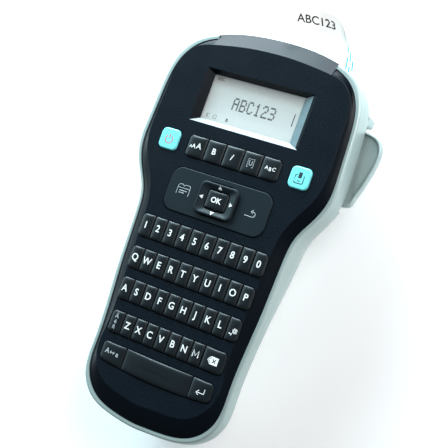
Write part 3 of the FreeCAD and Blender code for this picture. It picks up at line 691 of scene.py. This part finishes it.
def build_row(name, node, caps, words, size, sag=0.0, reach=1.0):
    """One object for the caps of a node and one for the print on them."""
    bm = bmesh.new()
    for low, high, radii in caps:
        join_into(bm, cap_bmesh(low, high, radii, sag=sag, sag_reach=reach))
    body = body_of_node(node)
    keep_piece(name, bm, DARK_GLOSS, body, stands_for=(node,))
    print_bm = bmesh.new()
    for (low, high, _), word in zip(caps, words):
        if word:
            centre = ((low[0] + high[0]) / 2 * MM, (low[1] + high[1]) / 2 * MM, LEGEND_Z)
            legend = text_bmesh(word, size, centre, bold=LEGEND_BOLD, width=LEGEND_WIDTH,
                                depth=LEGEND_DEPTH)
            lay_on_cap(legend, (low, high))
            join_into(print_bm, legend)
    if print_bm.verts:
        keep_piece(name + "_print", print_bm, WHITE_INK, body, smooth=False)
    else:
        print_bm.free()


# %% [markdown]
# ## Digits and letters
#
# Three rows have ten equal keys; the last key of the third has signs of its own. The fourth row has
# a narrow accent key, seven letters and a wide erasing key, so its borders come from the boxes of
# its three parts.

# %% Character rows
for name, node, words in (
        ("number_caps", "number_keys", "1234567890"),
        ("top_letter_caps", "top_letter_keys", "QWERTYUIOP"),
        ("home_letter_caps", "home_letter_keys", "ASDFGHJKL")):
    low, high = mm_box(node)
    home_caps = key_row(node, even_edges(low[0], high[0], 10))
    build_row(name, node, home_caps, words, LEGEND_SIZE)

letters_low, letters_high = mm_box("bottom_letter_keys")
letter_edges = even_edges(letters_low[0] - GAP / 2, letters_high[0] + GAP / 2, 7)
bottom_edges = [mm_box("accent_key")[0][0]] + letter_edges + [mm_box("backspace_key")[1][0]]
bottom_caps = key_row("bottom_letter_keys", bottom_edges)
build_row("accent_cap", "accent_key", bottom_caps[:1], "", LEGEND_SIZE)
build_row("bottom_letter_caps", "bottom_letter_keys", bottom_caps[1:8], "ZXCVBN", LEGEND_SIZE)
build_row("backspace_cap", "backspace_key", bottom_caps[8:], "", LEGEND_SIZE)


# %% [markdown]
# ## Space row and format row
#
# The lower edge of the space row bows down in the middle. The bow is a parabola laid over the
# finished caps, so that their domes bow with it. The format row has five equal keys, each a part of
# its own.

# %% Space row and format row
SPACE_SAG = 2.2
SPACE_Y = (-77.6, -68.0)
FORMAT_LEGEND_SIZE = 4.4
caps_low, caps_high = mm_box("caps_key")
space_low, space_high = mm_box("space_key")
enter_low, enter_high = mm_box("enter_key")
space_edges = [caps_low[0], (caps_high[0] + space_low[0]) / 2, (space_high[0] + enter_low[0]) / 2,
               enter_high[0]]
space_caps = [((low[0], SPACE_Y[0], low[2]), (high[0], SPACE_Y[1], high[2]), radii)
              for low, high, radii in key_row("caps_key", space_edges)]
for cap, node in zip(space_caps, ("caps_key", "space_key", "enter_key")):
    build_row(node.replace("_key", "_cap"), node, [cap], "", LEGEND_SIZE, SPACE_SAG, enter_high[0])

format_nodes = ["text_size_key", "bold_key", "italic_key", "box_style_key", "text_style_key"]
format_low, format_high = mm_box(format_nodes[0])[0], mm_box(format_nodes[-1])[1]
format_caps = key_row("bold_key", even_edges(format_low[0], format_high[0], 5))
for cap, node, word in zip(format_caps, format_nodes, ("", "B", "", "", "")):
    build_row(node.replace("_key", "_cap"), node, [cap], word, FORMAT_LEGEND_SIZE)
print("key caps done, top at", round(KEY_TOP, 2), "mm")


# %% [markdown]
# ## Print on the working keys
#
# Every sign is drawn from lines of ink or from small text, a little raised, as pad printing is. A
# function draws each sign around the middle of its key. Then one call makes it a piece: the ink gets
# its finish, follows the bow of the cap, and rides on the key's body.

# %% Signs on the keys
def centre_of(cap):
    """The middle of a cap, as x and y in mm."""
    low, high = cap[0], cap[1]
    return (low[0] + high[0]) / 2, (low[1] + high[1]) / 2


def put_text(bm, words, size, x, y, z, bold=0.1, depth=0.16):
    """Adds centred words to a sign: x and y in mm, z in metres."""
    join_into(bm, text_bmesh(words, size, (x * MM, y * MM, z), bold=bold, depth=depth))


def print_on(name, node, draw, ink=WHITE_INK, cap=None):
    """draw fills a bmesh with strokes and text; the result rides with the part."""
    bm = bmesh.new()
    draw(bm)
    if cap:
        lay_on_cap(bm, cap)
    keep_piece(name, bm, ink, body_of_node(node), smooth=False)


# %% [markdown]
# ## Signs of the format row
#
# Three letters that grow stand for the text size, a slanted line for italics, a frame for the box
# style, and three letters at odds for the text style.

# %% Signs of the format row
def size_sign(bm):
    x, y = centre_of(format_caps[0])
    for words, size, dx in (("A", 2.0, -2.9), ("A", 3.1, -1.1), ("A", 4.3, 1.8)):
        put_text(bm, words, size, x + dx, y - 1.0 + size * 0.34, LEGEND_Z, bold=0.04)


def italic_sign(bm):
    x, y = centre_of(format_caps[2])
    stroke(bm, [(x - 0.55, y - 1.5), (x + 0.55, y + 1.5)], LEGEND_Z, 0.5)


def box_sign(bm):
    x, y = centre_of(format_caps[3])
    side, tall = 1.7, 2.1
    stroke(bm, [(x - side, y - tall), (x - side, y + tall), (x + side, y + tall), (x + side, y - tall)],
           LEGEND_Z, 0.28)
    arch = arc_points((x, y - 0.3), 0.8, 180, 360, 8)
    stroke(bm, [(x - 0.8, y + 1.4)] + arch + [(x + 0.8, y + 1.4)], LEGEND_Z, 0.34)
    stroke(bm, [(x - side, y - tall), (x - 1.0, y - tall)], LEGEND_Z, 0.28)
    stroke(bm, [(x + 1.0, y - tall), (x + side, y - tall)], LEGEND_Z, 0.28)


def style_sign(bm):
    x, y = centre_of(format_caps[4])
    for words, dx, dy in (("A", -2.0, 0.3), ("B", 0.1, -0.2), ("C", 2.2, 0.2)):
        put_text(bm, words, 2.6, x + dx, y + dy, LEGEND_Z, bold=0.05)


# %% [markdown]
# ## Signs of the letter rows
#
# The erasing sign is a filled arrow tag: an outline and a few broad lines that lie close together,
# each a hair lower than the last, with a dark cross on top. The widest letter is drawn in lines as
# well, because bold type closes up at this size.

# %% Signs of the letter rows
def accent_sign(bm):
    x, y = centre_of(bottom_caps[0])
    for words, dy in (("\u00c4", 2.8), ("\u00e9", 0.0), ("\u00f1", -2.8)):
        put_text(bm, words, 3.1, x, y + dy, LEGEND_Z, bold=0.03)


def backspace_sign(bm):
    x, y = centre_of(bottom_caps[8])
    corners = [(x - 3.0, y), (x - 1.3, y - 1.8), (x + 2.6, y - 1.8), (x + 2.6, y + 1.8), (x - 1.3, y + 1.8)]
    stroke(bm, corners, LEGEND_Z, 0.5, closed=True)
    for row in range(5):
        level = y - 1.3 + row * 0.65
        start = x - 2.2 + abs(level - y) * 0.85
        stroke(bm, [(start, level), (x + 2.4, level)], LEGEND_Z - 0.004 * row * MM, 0.8)


def backspace_cross(bm):
    x, y = centre_of(bottom_caps[8])
    top = LEGEND_Z + 0.05 * MM
    stroke(bm, [(x - 0.3, y - 0.9), (x + 1.5, y + 0.9)], top, 0.45)
    stroke(bm, [(x - 0.3, y + 0.9), (x + 1.5, y - 0.9)], top, 0.45)


def wide_letter_sign(bm):
    """The letter M in strokes, as tall as its neighbour: a bold font letter closes up at this size."""
    x, y = centre_of(bottom_caps[7])
    neighbour = text_bmesh("N", LEGEND_SIZE, (x * MM, y * MM, LEGEND_Z), bold=LEGEND_BOLD)
    foot = min(v.co.y for v in neighbour.verts) / MM
    head = max(v.co.y for v in neighbour.verts) / MM
    neighbour.free()
    stroke(bm, [(x - 1.6, foot), (x - 1.45, head - 0.25), (x, foot + 0.8), (x + 1.45, head - 0.25),
                (x + 1.6, foot)], LEGEND_Z, 0.6)


# %% [markdown]
# ## Signs of the space row
#
# A large and a small letter with a double arrow switch the case, and a bent arrow stands for a new
# line.

# %% Signs of the space row
def caps_sign(bm):
    x, y = centre_of(space_caps[0])
    put_text(bm, "A", 3.6, x - 3.0, y + 0.2, LEGEND_Z, bold=0.06)
    put_text(bm, "a", 3.6, x + 3.2, y - 0.1, LEGEND_Z, bold=0.06)
    stroke(bm, [(x - 1.2, y), (x + 1.4, y)], LEGEND_Z, 0.35)
    for tip, way in ((x - 1.3, 1), (x + 1.5, -1)):
        stroke(bm, [(tip + 0.8 * way, y + 0.7), (tip, y), (tip + 0.8 * way, y - 0.7)], LEGEND_Z, 0.3)


def enter_sign(bm):
    x, y = centre_of(space_caps[2])
    y -= 0.8
    stroke(bm, [(x + 2.3, y + 1.9), (x + 2.3, y - 0.6), (x - 1.8, y - 0.6)], LEGEND_Z, 0.42)
    stroke(bm, [(x - 0.6, y + 0.6), (x - 2.0, y - 0.6), (x - 0.6, y - 1.8)], LEGEND_Z, 0.42)


def point_sign(bm):
    x, y = centre_of(home_caps[9])
    put_text(bm, ".", 4.4, x - 1.1, y - 0.9, LEGEND_Z, bold=0.1)
    put_text(bm, ",", 4.4, x - 0.1, y - 1.0, LEGEND_Z, bold=0.08)
    put_text(bm, "@", 2.6, x + 1.3, y - 0.2, LEGEND_Z, bold=0.05)


# %% [markdown]
# ## Signs of the two side keys
#
# The round power sign is an open ring with an upright line. The print key shows a small device with
# a label that leaves it.

# %% Signs of the two side keys
POWER_Z = (mm_box("power_key")[1][2] + 0.01) * MM
POWER_MIDDLE = (-38.5, 40.0)
PRINT_MIDDLE = (38.5, 40.0)


def power_sign(bm):
    x, y = POWER_MIDDLE
    stroke(bm, arc_points(POWER_MIDDLE, 2.15, 128, 412, 24), POWER_Z, 0.5)
    stroke(bm, [(x, y + 0.5), (x, y + 3.0)], POWER_Z, 0.5)


def print_sign(bm):
    x, y = PRINT_MIDDLE
    frame_line = (arc_points((x - 1.6, y - 1.7), 0.8, 180, 270, 4)
                  + arc_points((x + 1.6, y - 1.7), 0.8, 270, 360, 4)
                  + arc_points((x + 1.6, y + 0.9), 0.8, 0, 60, 3))
    stroke(bm, frame_line, POWER_Z, 0.5)
    stroke(bm, arc_points((x - 1.6, y - 1.7), 0.8, 180, 185, 1) + [(x - 2.4, y + 1.2), (x - 1.5, y + 1.8)],
           POWER_Z, 0.5)
    stroke(bm, [(x - 0.7, y - 1.3), (x + 0.7, y - 1.3)], POWER_Z, 0.45)
    stroke(bm, [(x + 0.1, y + 0.2), (x + 0.1, y + 3.1)], POWER_Z, 1.9)


# %% [markdown]
# ## Put the signs on
#
# Each sign is now made a piece on its key. The keys of the face have bowed caps, which the ink
# follows; the two side keys are flat.

# %% Put the signs on
for name, node, sign, ink, cap in (
        ("size_print", "text_size_key", size_sign, WHITE_INK, format_caps[0]),
        ("italic_print", "italic_key", italic_sign, WHITE_INK, format_caps[2]),
        ("box_print", "box_style_key", box_sign, GREY_INK, format_caps[3]),
        ("style_print", "text_style_key", style_sign, WHITE_INK, format_caps[4]),
        ("accent_print", "accent_key", accent_sign, GREY_INK, bottom_caps[0]),
        ("backspace_print", "backspace_key", backspace_sign, WHITE_INK, bottom_caps[8]),
        ("backspace_cross_print", "backspace_key", backspace_cross, BLACK_INK, bottom_caps[8]),
        ("wide_letter_print", "bottom_letter_keys", wide_letter_sign, WHITE_INK, bottom_caps[7]),
        ("caps_print", "caps_key", caps_sign, GREY_INK, space_caps[0]),
        ("enter_print", "enter_key", enter_sign, WHITE_INK, space_caps[2]),
        ("point_print", "home_letter_keys", point_sign, WHITE_INK, home_caps[9])):
    print_on(name, node, sign, ink, cap)
print_on("power_print", "power_key", power_sign, RED_INK)
print_on("print_key_print", "print_key", print_sign, DARK_INK)


# %% [markdown]
# ## Arrow pad
#
# The arrow ring is a rounded block whose top is drawn in ring by ring: up over a narrow lip, then
# down a dished slope to the hole for the middle key, and straight down through the block. Its last
# face and the matching part of the bottom are taken away, so that the middle key can pass.

# %% Arrow ring and middle key
MERGE = 0.01 * MM
RING_TOP = mm_box("nav_ring")[1][2]
RING_LOW = mm_box("nav_ring")[0][2]
RING_HALF = (11.2, 8.5)
RING_MIDDLE = (0.0, 17.0)
HOLE_HALF = (6.45, 5.25)
RING_CORNER = 2.9
SHOULDER_DROP = 0.75
LIP_WIDTH = 1.15
LIP_DROP = 0.06
LIP = ((0.10, 0.42), (0.28, 0.18), (0.55, 0.03), (0.85, 0.0), (LIP_WIDTH, LIP_DROP))
SLOPE_STEPS = (0.2, 0.45, 0.7, 0.9, 1.0)
SLOPE_FOOT = 50.55


def ring_bmesh():
    """The ring, as a block whose top is drawn in over the lip, down the dish and through the hole."""
    (cx, cy), (hx, hy) = RING_MIDDLE, RING_HALF
    bm, centre, _ = rounded_block((cx - hx, cy - hy, RING_LOW), (cx + hx, cy + hy, RING_TOP),
                                  (RING_CORNER,) * 4)
    top = top_face(bm)
    bottom = min(bm.faces, key=lambda f: f.calc_center_median().z)
    for v in top.verts:
        v.co.z -= SHOULDER_DROP * MM
    rings = [((hx - inward, hy - inward), RING_TOP - drop) for inward, drop in LIP]
    for step in SLOPE_STEPS:
        inner = [o - LIP_WIDTH + (h - o + LIP_WIDTH) * step for o, h in zip(RING_HALF, HOLE_HALF)]
        rings.append((inner, RING_TOP - LIP_DROP + (SLOPE_FOOT - RING_TOP + LIP_DROP) * step))
    half = RING_HALF
    for target, z in rings + [(HOLE_HALF, RING_LOW)]:
        shrink = [t / h for t, h in zip(target, half)]
        top = next_ring(bm, top, centre, shrink, z * MM)
        half = target
    shrink = [t / h for t, h in zip(HOLE_HALF, RING_HALF)]
    bottom = next_ring(bm, bottom, centre, shrink, RING_LOW * MM)
    bmesh.ops.delete(bm, geom=[top, bottom], context="FACES")
    bmesh.ops.remove_doubles(bm, verts=bm.verts, dist=2 * MERGE)
    return bm


keep_piece("arrow_ring", ring_bmesh(), NAV_SATIN, body_of_node("nav_ring"), stands_for=("nav_ring",))


# %% [markdown]
# ## Arrows on the dish
#
# A cylinder with three sides is a triangular prism, which is all that an arrow head needs. Each is
# turned to point outwards and tilted to lie on its side of the dish.

# %% Arrows on the dish
def turn_about(bm, degrees, axis):
    """Turns a bmesh about an axis through the origin."""
    turn = Matrix.Rotation(math.radians(degrees), 3, axis)
    bmesh.ops.rotate(bm, cent=(0, 0, 0), verts=bm.verts, matrix=turn)


def arrow_sign(bm):
    """Four small triangular prisms, each tilted to lie on its side of the dish."""
    size, thick = 1.25 * MM, 0.5 * MM
    for turn, along, tilt in ((0, 8.6, 15), (90, 6.6, 25), (180, 8.6, 15), (270, 6.6, 25)):
        one = bmesh.new()
        bmesh.ops.create_cone(one, cap_ends=True, segments=3, radius1=size, radius2=size, depth=thick)
        turn_about(one, -90, "Z")
        turn_about(one, -tilt, "Y")
        bmesh.ops.translate(one, vec=(along * MM, 0, (SLOPE_FOOT + 0.80) * MM), verts=one.verts)
        turn_about(one, turn, "Z")
        bmesh.ops.translate(one, vec=(0, RING_MIDDLE[1] * MM, 0), verts=one.verts)
        join_into(bm, one)


print_on("arrow_print", "nav_ring", arrow_sign)


# %% [markdown]
# ## Middle key
#
# The middle key is one more domed cap, with its letters printed on it.

# %% Middle key
OK_CORNER = 1.7
ok_low, ok_high = mm_box("ok_key")
keep_piece("ok_cap", cap_bmesh(ok_low, ok_high, (OK_CORNER,) * 4), DARK_GLOSS, body_of_node("ok_key"),
           stands_for=("ok_key",))


def ok_sign(bm):
    put_text(bm, "OK", 3.9, 0, RING_MIDDLE[1], (ok_high[2] - 0.03) * MM, bold=0.11)


print_on("ok_print", "ok_key", ok_sign, cap=(ok_low, ok_high))


# %% [markdown]
# ## Signs beside the ring
#
# The plate on both sides of the ring has two faint grey signs: a folder with lines of text, and an
# arrow that bends back.

# %% Signs beside the ring
PANEL_Z = (mm_box("nav_panel")[1][2] + 0.01) * MM


def folder_sign(bm):
    x, y = -20.3, 17.2
    outline = [(x - 3.6, y - 2.6), (x - 3.6, y + 1.7), (x - 2.9, y + 2.7), (x - 0.9, y + 2.7),
               (x - 0.2, y + 1.8), (x + 0.5, y + 2.7), (x + 3.0, y + 2.7), (x + 3.6, y + 1.9),
               (x + 3.6, y - 2.6)]
    stroke(bm, outline, PANEL_Z, 0.3)
    stroke(bm, [(x - 3.6, y + 0.9), (x + 3.6, y + 0.9)], PANEL_Z, 0.25)
    for level, reach in ((-0.5, 2.2), (-1.6, 1.5)):
        stroke(bm, [(x - 2.2, y + level), (x - 2.2 + 2 * reach, y + level)], PANEL_Z, 0.4)


def return_sign(bm):
    x, y = 20.2, 16.2
    bend = arc_points((x + 1.2, y), 1.3, -90, 90, 10)
    stroke(bm, [(x - 3.2, y - 1.3)] + bend + [(x + 0.2, y + 1.3)], PANEL_Z, 0.34)
    stroke(bm, [(x + 0.9, y + 2.3), (x - 0.2, y + 1.3), (x + 0.9, y + 0.3)], PANEL_Z, 0.34)


print_on("folder_print", "nav_panel", folder_sign, GREY_INK)
print_on("return_print", "nav_panel", return_sign, GREY_INK)
frame["nodes"]["nav_panel"].data.materials[0] = NAV_SATIN


# %% [markdown]
# ## Display
#
# The display is a pale plate under a clear window. Its characters are a grid of dots, five wide and
# seven high, drawn as small square blocks. The faint signs are segments that are switched off: they
# have nearly the colour of the plate. All of it lies in the thin gap under the window.

# %% Display contents
LCD_Z = (mm_box("lcd_panel")[1][2] + 0.012) * MM
DOT_LETTERS = {
    "A": ("01110", "10001", "10001", "11111", "10001", "10001", "10001"),
    "B": ("11110", "10001", "10001", "11110", "10001", "10001", "11110"),
    "C": ("01110", "10001", "10000", "10000", "10000", "10001", "01110"),
    "1": ("00100", "01100", "00100", "00100", "00100", "00100", "01110"),
    "2": ("01110", "10001", "00001", "00110", "01000", "10000", "11111"),
    "3": ("11110", "00001", "00001", "01110", "00001", "00001", "11110"),
}
DOT = (0.66, 0.95)
DOT_FILL = (1.25, 0.97)
MESSAGE_LEFT, MESSAGE_TOP = -12.6, 70.4
CHARACTER_STEP = 4.3
MESSAGE_Z = LCD_Z + 0.004 * MM
BAND_Z = LCD_Z - 0.006 * MM
print("dot characters:", len(DOT_LETTERS))


# %% [markdown]
# ## Characters in dots
#
# Each character is looked up as seven rows of five dots. The dots nearly touch from side to side,
# as on a real display, and one block at the right is the cursor.

# %% Characters in dots
def message_sign(bm):
    for place, letter in enumerate("ABC123"):
        for row, bits in enumerate(DOT_LETTERS[letter]):
            for column, bit in enumerate(bits):
                if bit == "1":
                    x = MESSAGE_LEFT + place * CHARACTER_STEP + column * DOT[0]
                    y = MESSAGE_TOP - row * DOT[1]
                    width, height = DOT[0] * DOT_FILL[0], DOT[1] * DOT_FILL[1]
                    join_into(bm, block_bmesh(x, y, MESSAGE_Z, width, height))
    join_into(bm, block_bmesh(22.4, 67.4, MESSAGE_Z, 0.6, 6.6))


# %% [markdown]
# ## Small signs of the display
#
# Above and below the message are small signs. A few are on and black; the rest are off and show
# only as faint shapes. Their lines are pressed very flat, so that they stay in the gap under the
# window.

# %% Small signs of the display
def stroke_flat(bm, points, width=0.3):
    stroke(bm, points, LCD_Z, width, height=0.011)


def lit_signs(bm):
    put_text(bm, "ABC", 2.4, -24.3, 78.2, LCD_Z, bold=0.03, depth=0.02)
    put_text(bm, "B", 2.3, -13.2, 58.3, LCD_Z, bold=0.12, depth=0.02)
    stroke_flat(bm, [(-25.4, 57.3), (-25.4, 59.5)])
    stroke_flat(bm, [(-24.0, 59.5), (-25.4, 58.4), (-24.0, 57.3)])
    stroke_flat(bm, [(-21.4, 57.5), (-19.7, 57.5), (-19.7, 59.3), (-21.4, 59.3), (-21.4, 57.5)])


def faint_signs(bm):
    for left, right in ((-26.6, -2.3), (-0.9, 22.6)):
        corner = (arc_points((left + 1.2, 75.0), 1.2, 180, 90, 5)
                  + arc_points((right - 1.2, 75.0), 1.2, 90, 0, 5))
        stroke_flat(bm, [(left, 72.3)] + corner + [(right, 72.3)], 0.2)
    for words, size, x, y in (("abc  ABC", 2.2, -17.0, 78.0), ("1 & 2", 2.6, -14.4, 73.9),
                              ("/", 2.2, -4.4, 58.4), ("A B", 2.2, 5.0, 58.4), ("ABC", 1.8, 15.0, 58.4)):
        put_text(bm, words, size, x, y, LCD_Z, bold=0.0, depth=0.02)
    stroke_flat(bm, [(10.4, 74.7), (11.6, 73.3), (12.8, 73.1)], 0.4)


# %% [markdown]
# ## Lay the display out
#
# The darker band behind the message comes first, then the faint shapes, the message and the signs
# that are on. Each has its own ink.

# %% Lay the display out
def band_sign(bm):
    join_into(bm, block_bmesh(-1.5, 66.7, BAND_Z, 54.6, 10.0))


print_on("display_band", "lcd_panel", band_sign, LCD_SHADE)
print_on("display_faint", "lcd_panel", faint_signs, FAINT_INK)
print_on("display_message", "lcd_panel", message_sign, BLACK_INK)
print_on("display_lit", "lcd_panel", lit_signs, BLACK_INK)


# %% [markdown]
# ## Walls of the display recess
#
# The lower ledge and the right wall of the recess catch the light and look pale. Thin sheets on
# the slopes of the cover carry this as painted light, without cutting the cover: a pale painted
# highlight on the ledge and a blue-grey one on the wall.

# %% Walls of the display recess
FACING_THICKNESS = 0.08 * MM


def painted_light_sheet(name, foot, top, material):
    """A thin sheet of painted light on a sloped wall: foot and top are its lower and upper edges, as end
    points.
    """
    bm = bmesh.new()
    bmesh.ops.create_grid(bm, x_segments=1, y_segments=1, size=1.0)
    for v in bm.verts:
        edge = foot if v.co.y < 0 else top
        v.co = Vector(edge[0] if v.co.x < 0 else edge[1]) * MM
    bmesh.ops.recalc_face_normals(bm, faces=bm.faces)
    bmesh.ops.solidify(bm, geom=bm.faces, thickness=FACING_THICKNESS)
    keep_piece(name, bm, material, "body", smooth=False)


# Painted highlight: the ledge and the right wall are the cover's dark plastic, coloured pale and blue-grey
# where the lamps light them.
LEDGE_HIGHLIGHT = moulding("ledge_painted_highlight", (0.42, 0.47, 0.50), (0.55, 0.60, 0.64), (0.25, 0.35), 3500, 0.004)
WALL_HIGHLIGHT = moulding("wall_painted_highlight", (0.10, 0.155, 0.175), (0.17, 0.25, 0.28), (0.40, 0.50), 1500, 0.012)
FLOOR_Z, LIP_Z = 46.2, 49.9
painted_light_sheet("display_ledge_highlight", ((-27.6, 55.9, FLOOR_Z), (24.9, 55.9, FLOOR_Z)),
           ((-31.5, 53.0, LIP_Z), (31.7, 53.0, LIP_Z)), LEDGE_HIGHLIGHT)
painted_light_sheet("display_right_wall_highlight", ((25.1, 56.0, FLOOR_Z), (25.1, 79.7, FLOOR_Z)),
           ((31.8, 53.1, LIP_Z), (31.8, 81.7, LIP_Z)), WALL_HIGHLIGHT)


# %% [markdown]
# ## Smooth lines
#
# The lever's outline and the route of the label are smooth curves through a few points. Between two
# points the curve depends on their neighbours too, so it passes every point without a corner. The
# same sum serves points in the plane, points in space and directions.

# %% Smooth lines
def smooth_line(points, steps, closed=False):
    """Points along a smooth line (Catmull-Rom) through the given points."""
    points = [Vector(p) for p in points]
    count = len(points)
    line = []
    for n in range(count if closed else count - 1):
        if closed:
            p0, p1, p2, p3 = (points[(n + k - 1) % count] for k in range(4))
        else:
            p1, p2 = points[n], points[n + 1]
            p0 = points[n - 1] if n else p1 * 2 - p2
            p3 = points[n + 2] if n + 2 < count else p2 * 2 - p1
        for step in range(steps):
            t = step / steps
            line.append(0.5 * (2 * p1 + (p2 - p0) * t + (2 * p0 - 5 * p1 + 4 * p2 - p3) * t * t
                               + (3 * p1 - p0 - 3 * p2 + p3) * t ** 3))
    if not closed:
        line.append(points[-1])
    return line


# %% [markdown]
# ## Cutter lever
#
# The lever is a thumb piece: a narrow lip round a shallow smooth scoop, on a body that narrows
# towards its foot. Its outline is filled and extruded for the rim. The top face is then drawn in
# for the lip and, lower and lower, for the scoop; the bottom face is drawn in for the foot.

# %% Lever
LEVER_LINE = ((59.0, 35.2), (62.4, 42.0), (65.0, 50.5), (66.8, 59.5), (66.9, 66.5), (64.0, 71.4),
              (58.5, 73.6), (51.5, 73.2), (49.6, 66.0), (49.0, 56.0), (46.5, 47.0), (44.2, 41.0),
              (45.0, 35.6))
LEVER_MIDDLE = (57.0 * MM, 55.0 * MM)
LEVER_KEEL = (50.5 * MM, 55.0 * MM)
WAIST_DEPTH = 3.6
RIM_DEPTH = 1.3
LIP_RINGS = ((0.99, -0.55), (0.985, -0.15), (0.985, 0.0), (0.98, 0.0), (0.988, -0.15), (0.99, -0.55))
SCOOP_RINGS = ((0.985, -0.9), (0.93, -1.3), (0.85, -1.7), (0.70, -2.1), (0.45, -2.3))
FOOT_RINGS = ((0.97, 10.0), (0.90, 8.0), (0.84, 5.6), (0.82, 3.2), (0.86, 1.0), (0.90, 0.0))


def lever_bmesh():
    """The lever's body. Each ring says how far it is drawn in, and its height from top or foot in mm."""
    low, high = (corner[2] * MM for corner in mm_box("cutter_lever"))
    waist = high - WAIST_DEPTH * MM
    bm = bmesh.new()
    rim = [bm.verts.new((x * MM, y * MM, waist)) for x, y in smooth_line(LEVER_LINE, 6, closed=True)]
    face = bm.faces.new(rim)
    bottom = next_ring(bm, face, LEVER_MIDDLE, (1, 1), waist)
    body = bmesh.ops.extrude_face_region(bm, geom=[bottom])
    top = [g for g in body["geom"] if isinstance(g, bmesh.types.BMFace)][0]
    for v in top.verts:
        v.co.z = high - RIM_DEPTH * MM
    for shrink, z in LIP_RINGS + SCOOP_RINGS:
        top = next_ring(bm, top, LEVER_MIDDLE, (shrink - (1 - shrink) * 0.6, shrink), high + z * MM)
    under = min(bm.faces, key=lambda f: f.calc_center_median().z)
    for shrink, z in FOOT_RINGS:
        under = next_ring(bm, under, LEVER_KEEL, (shrink, 1 - (1 - shrink) * 0.4), low + z * MM)
    bmesh.ops.remove_doubles(bm, verts=bm.verts, dist=MERGE)
    return bm


keep_piece("lever_shell", lever_bmesh(), SILVER, body_of_node("cutter_lever"), stands_for=("cutter_lever",))


# %% [markdown]
# ## Label strip
#
# The strip leaves the slot on edge, climbs and folds over towards the middle of the device. It is
# made from one short edge that is carried along a smooth route, then given its thickness. The front
# is white; the back is liner paper with pale blue dashes. The words on it are text bent to follow it.

# %% Label route
ROUTE = (
    ((28, 74.5, 14), (0, 0, 1)), ((28, 84, 14), (0, 0, 1)), ((28, 93, 14), (0, 0, 1)),
    ((28, 101, 14.6), (0, 0, 1)), ((28.6, 108, 18), (-0.03, 0.12, 1)), ((29, 114, 24.5), (-0.06, 0.3, 0.95)),
    ((27.5, 118.5, 32), (-0.12, 0.55, 0.8)), ((22.5, 120.6, 38), (-0.2, 0.75, 0.6)),
    ((14, 120, 42.5), (-0.27, 0.88, 0.38)), ((5.5, 118.4, 46.5), (-0.3, 0.93, 0.25)),
    ((-2.6, 116.6, 50), (-0.3, 0.93, 0.2)))
HALF_WIDTH = 6.0
LAYER = 0.15
MIDDLES = smooth_line([m for m, w in ROUTE], 10)
ACROSS = [w.normalized() for w in smooth_line([w for m, w in ROUTE], 10)]
DISTANCE = [0.0]
for near, far in zip(MIDDLES, MIDDLES[1:]):
    DISTANCE.append(DISTANCE[-1] + (far - near).length)
print("strip length:", round(DISTANCE[-1], 1), "mm")


# %% [markdown]
# ## From a distance to a place
#
# Print and dashes are laid out flat, by their distance along and across the strip. One function
# turns such a pair, and a height off the front, into a place in space, so everything on the strip
# bends in the same way.

# %% From a distance to a place
def on_strip(along, across, lift):
    """A point on the strip, in metres: along its route, across from its middle, off its front."""
    along = min(max(along, 0.0), DISTANCE[-1] - 1e-6)
    n = next(k for k in range(len(DISTANCE) - 1) if DISTANCE[k + 1] > along)
    share = (along - DISTANCE[n]) / (DISTANCE[n + 1] - DISTANCE[n])
    middle = MIDDLES[n].lerp(MIDDLES[n + 1], share)
    width_way = ACROSS[n].lerp(ACROSS[n + 1], share).normalized()
    travel = (MIDDLES[min(n + 2, len(MIDDLES) - 1)] - MIDDLES[max(n - 1, 0)]).normalized()
    front = width_way.cross(travel).normalized()
    return (middle + width_way * across + front * lift) * MM


def strip_bmesh(back, front, step=0.8):
    """A band over the whole strip, as thick as from back to front, both measured off the front in mm."""
    corners = ((-HALF_WIDTH, back), (HALF_WIDTH, back), (HALF_WIDTH, front), (-HALF_WIDTH, front))
    bm = bmesh.new()
    face = bm.faces.new([bm.verts.new(on_strip(0.0, across, lift)) for across, lift in corners])
    count = int(DISTANCE[-1] / step)
    for n in range(1, count + 1):
        face = bmesh.ops.extrude_discrete_faces(bm, faces=[face])["faces"][0]
        for v, (across, lift) in zip(face.verts, corners):
            v.co = on_strip(DISTANCE[-1] * n / count, across, lift)
    return bm


# %% [markdown]
# ## Front, liner and print
#
# The front and the liner are two thin bands on each side of the middle of the strip. The words are
# flat text that is divided and then bent; the dashes on the liner are blocks in three columns.

# %% Label pieces
TAPE_BODY = body_of_node("label_tape")
PRINT_LIFT = 0.165
WORDS_FROM_END = 19.0
DASH_COLUMNS = (-4.3, 0.0, 4.3)
DASH_STEP = 8.6
DASH_PIECE = 0.7
keep_piece("label_front", strip_bmesh(0.0, LAYER), TAPE_WHITE_GLOWING, TAPE_BODY, stands_for=("label_tape",))
keep_piece("label_liner", strip_bmesh(-LAYER, 0.0), TAPE_WHITE_GLOWING, TAPE_BODY)


def bend_onto_strip(bm, start, middle, lift, way=1):
    """Moves flat print, x along and y across in metres, onto the strip. way is -1 to read backwards."""
    for v in bm.verts:
        along, across, rise = v.co / MM
        v.co = on_strip(start + along * way, middle + across, lift + rise)


def label_words():
    bm = text_bmesh("ABC123", 5.9, (0, 0, 0), bold=0.07, depth=0.03)
    long_edges = [e for e in bm.edges if e.calc_length() > 0.8 * MM]
    bmesh.ops.subdivide_edges(bm, edges=long_edges, cuts=3)
    bend_onto_strip(bm, DISTANCE[-1] - WORDS_FROM_END, 0.0, PRINT_LIFT, way=-1)
    return bm


def liner_dashes():
    """Dashes in three staggered columns, each of nine short pieces, so that it can bend."""
    bm = bmesh.new()
    for across in DASH_COLUMNS:
        for n in range(8):
            start = DISTANCE[-1] - 64.0 + n * DASH_STEP + (across - DASH_COLUMNS[0]) * 0.7
            for k in range(9):
                one = block_bmesh(0, 0, 0, 0.74, 2.0)
                bend_onto_strip(one, start + k * DASH_PIECE, across, -PRINT_LIFT)
                join_into(bm, one)
    return bm


keep_piece("label_words", label_words(), BLACK_INK, TAPE_BODY, smooth=False)
keep_piece("liner_dashes", liner_dashes(), CYAN_INK, TAPE_BODY, smooth=False)
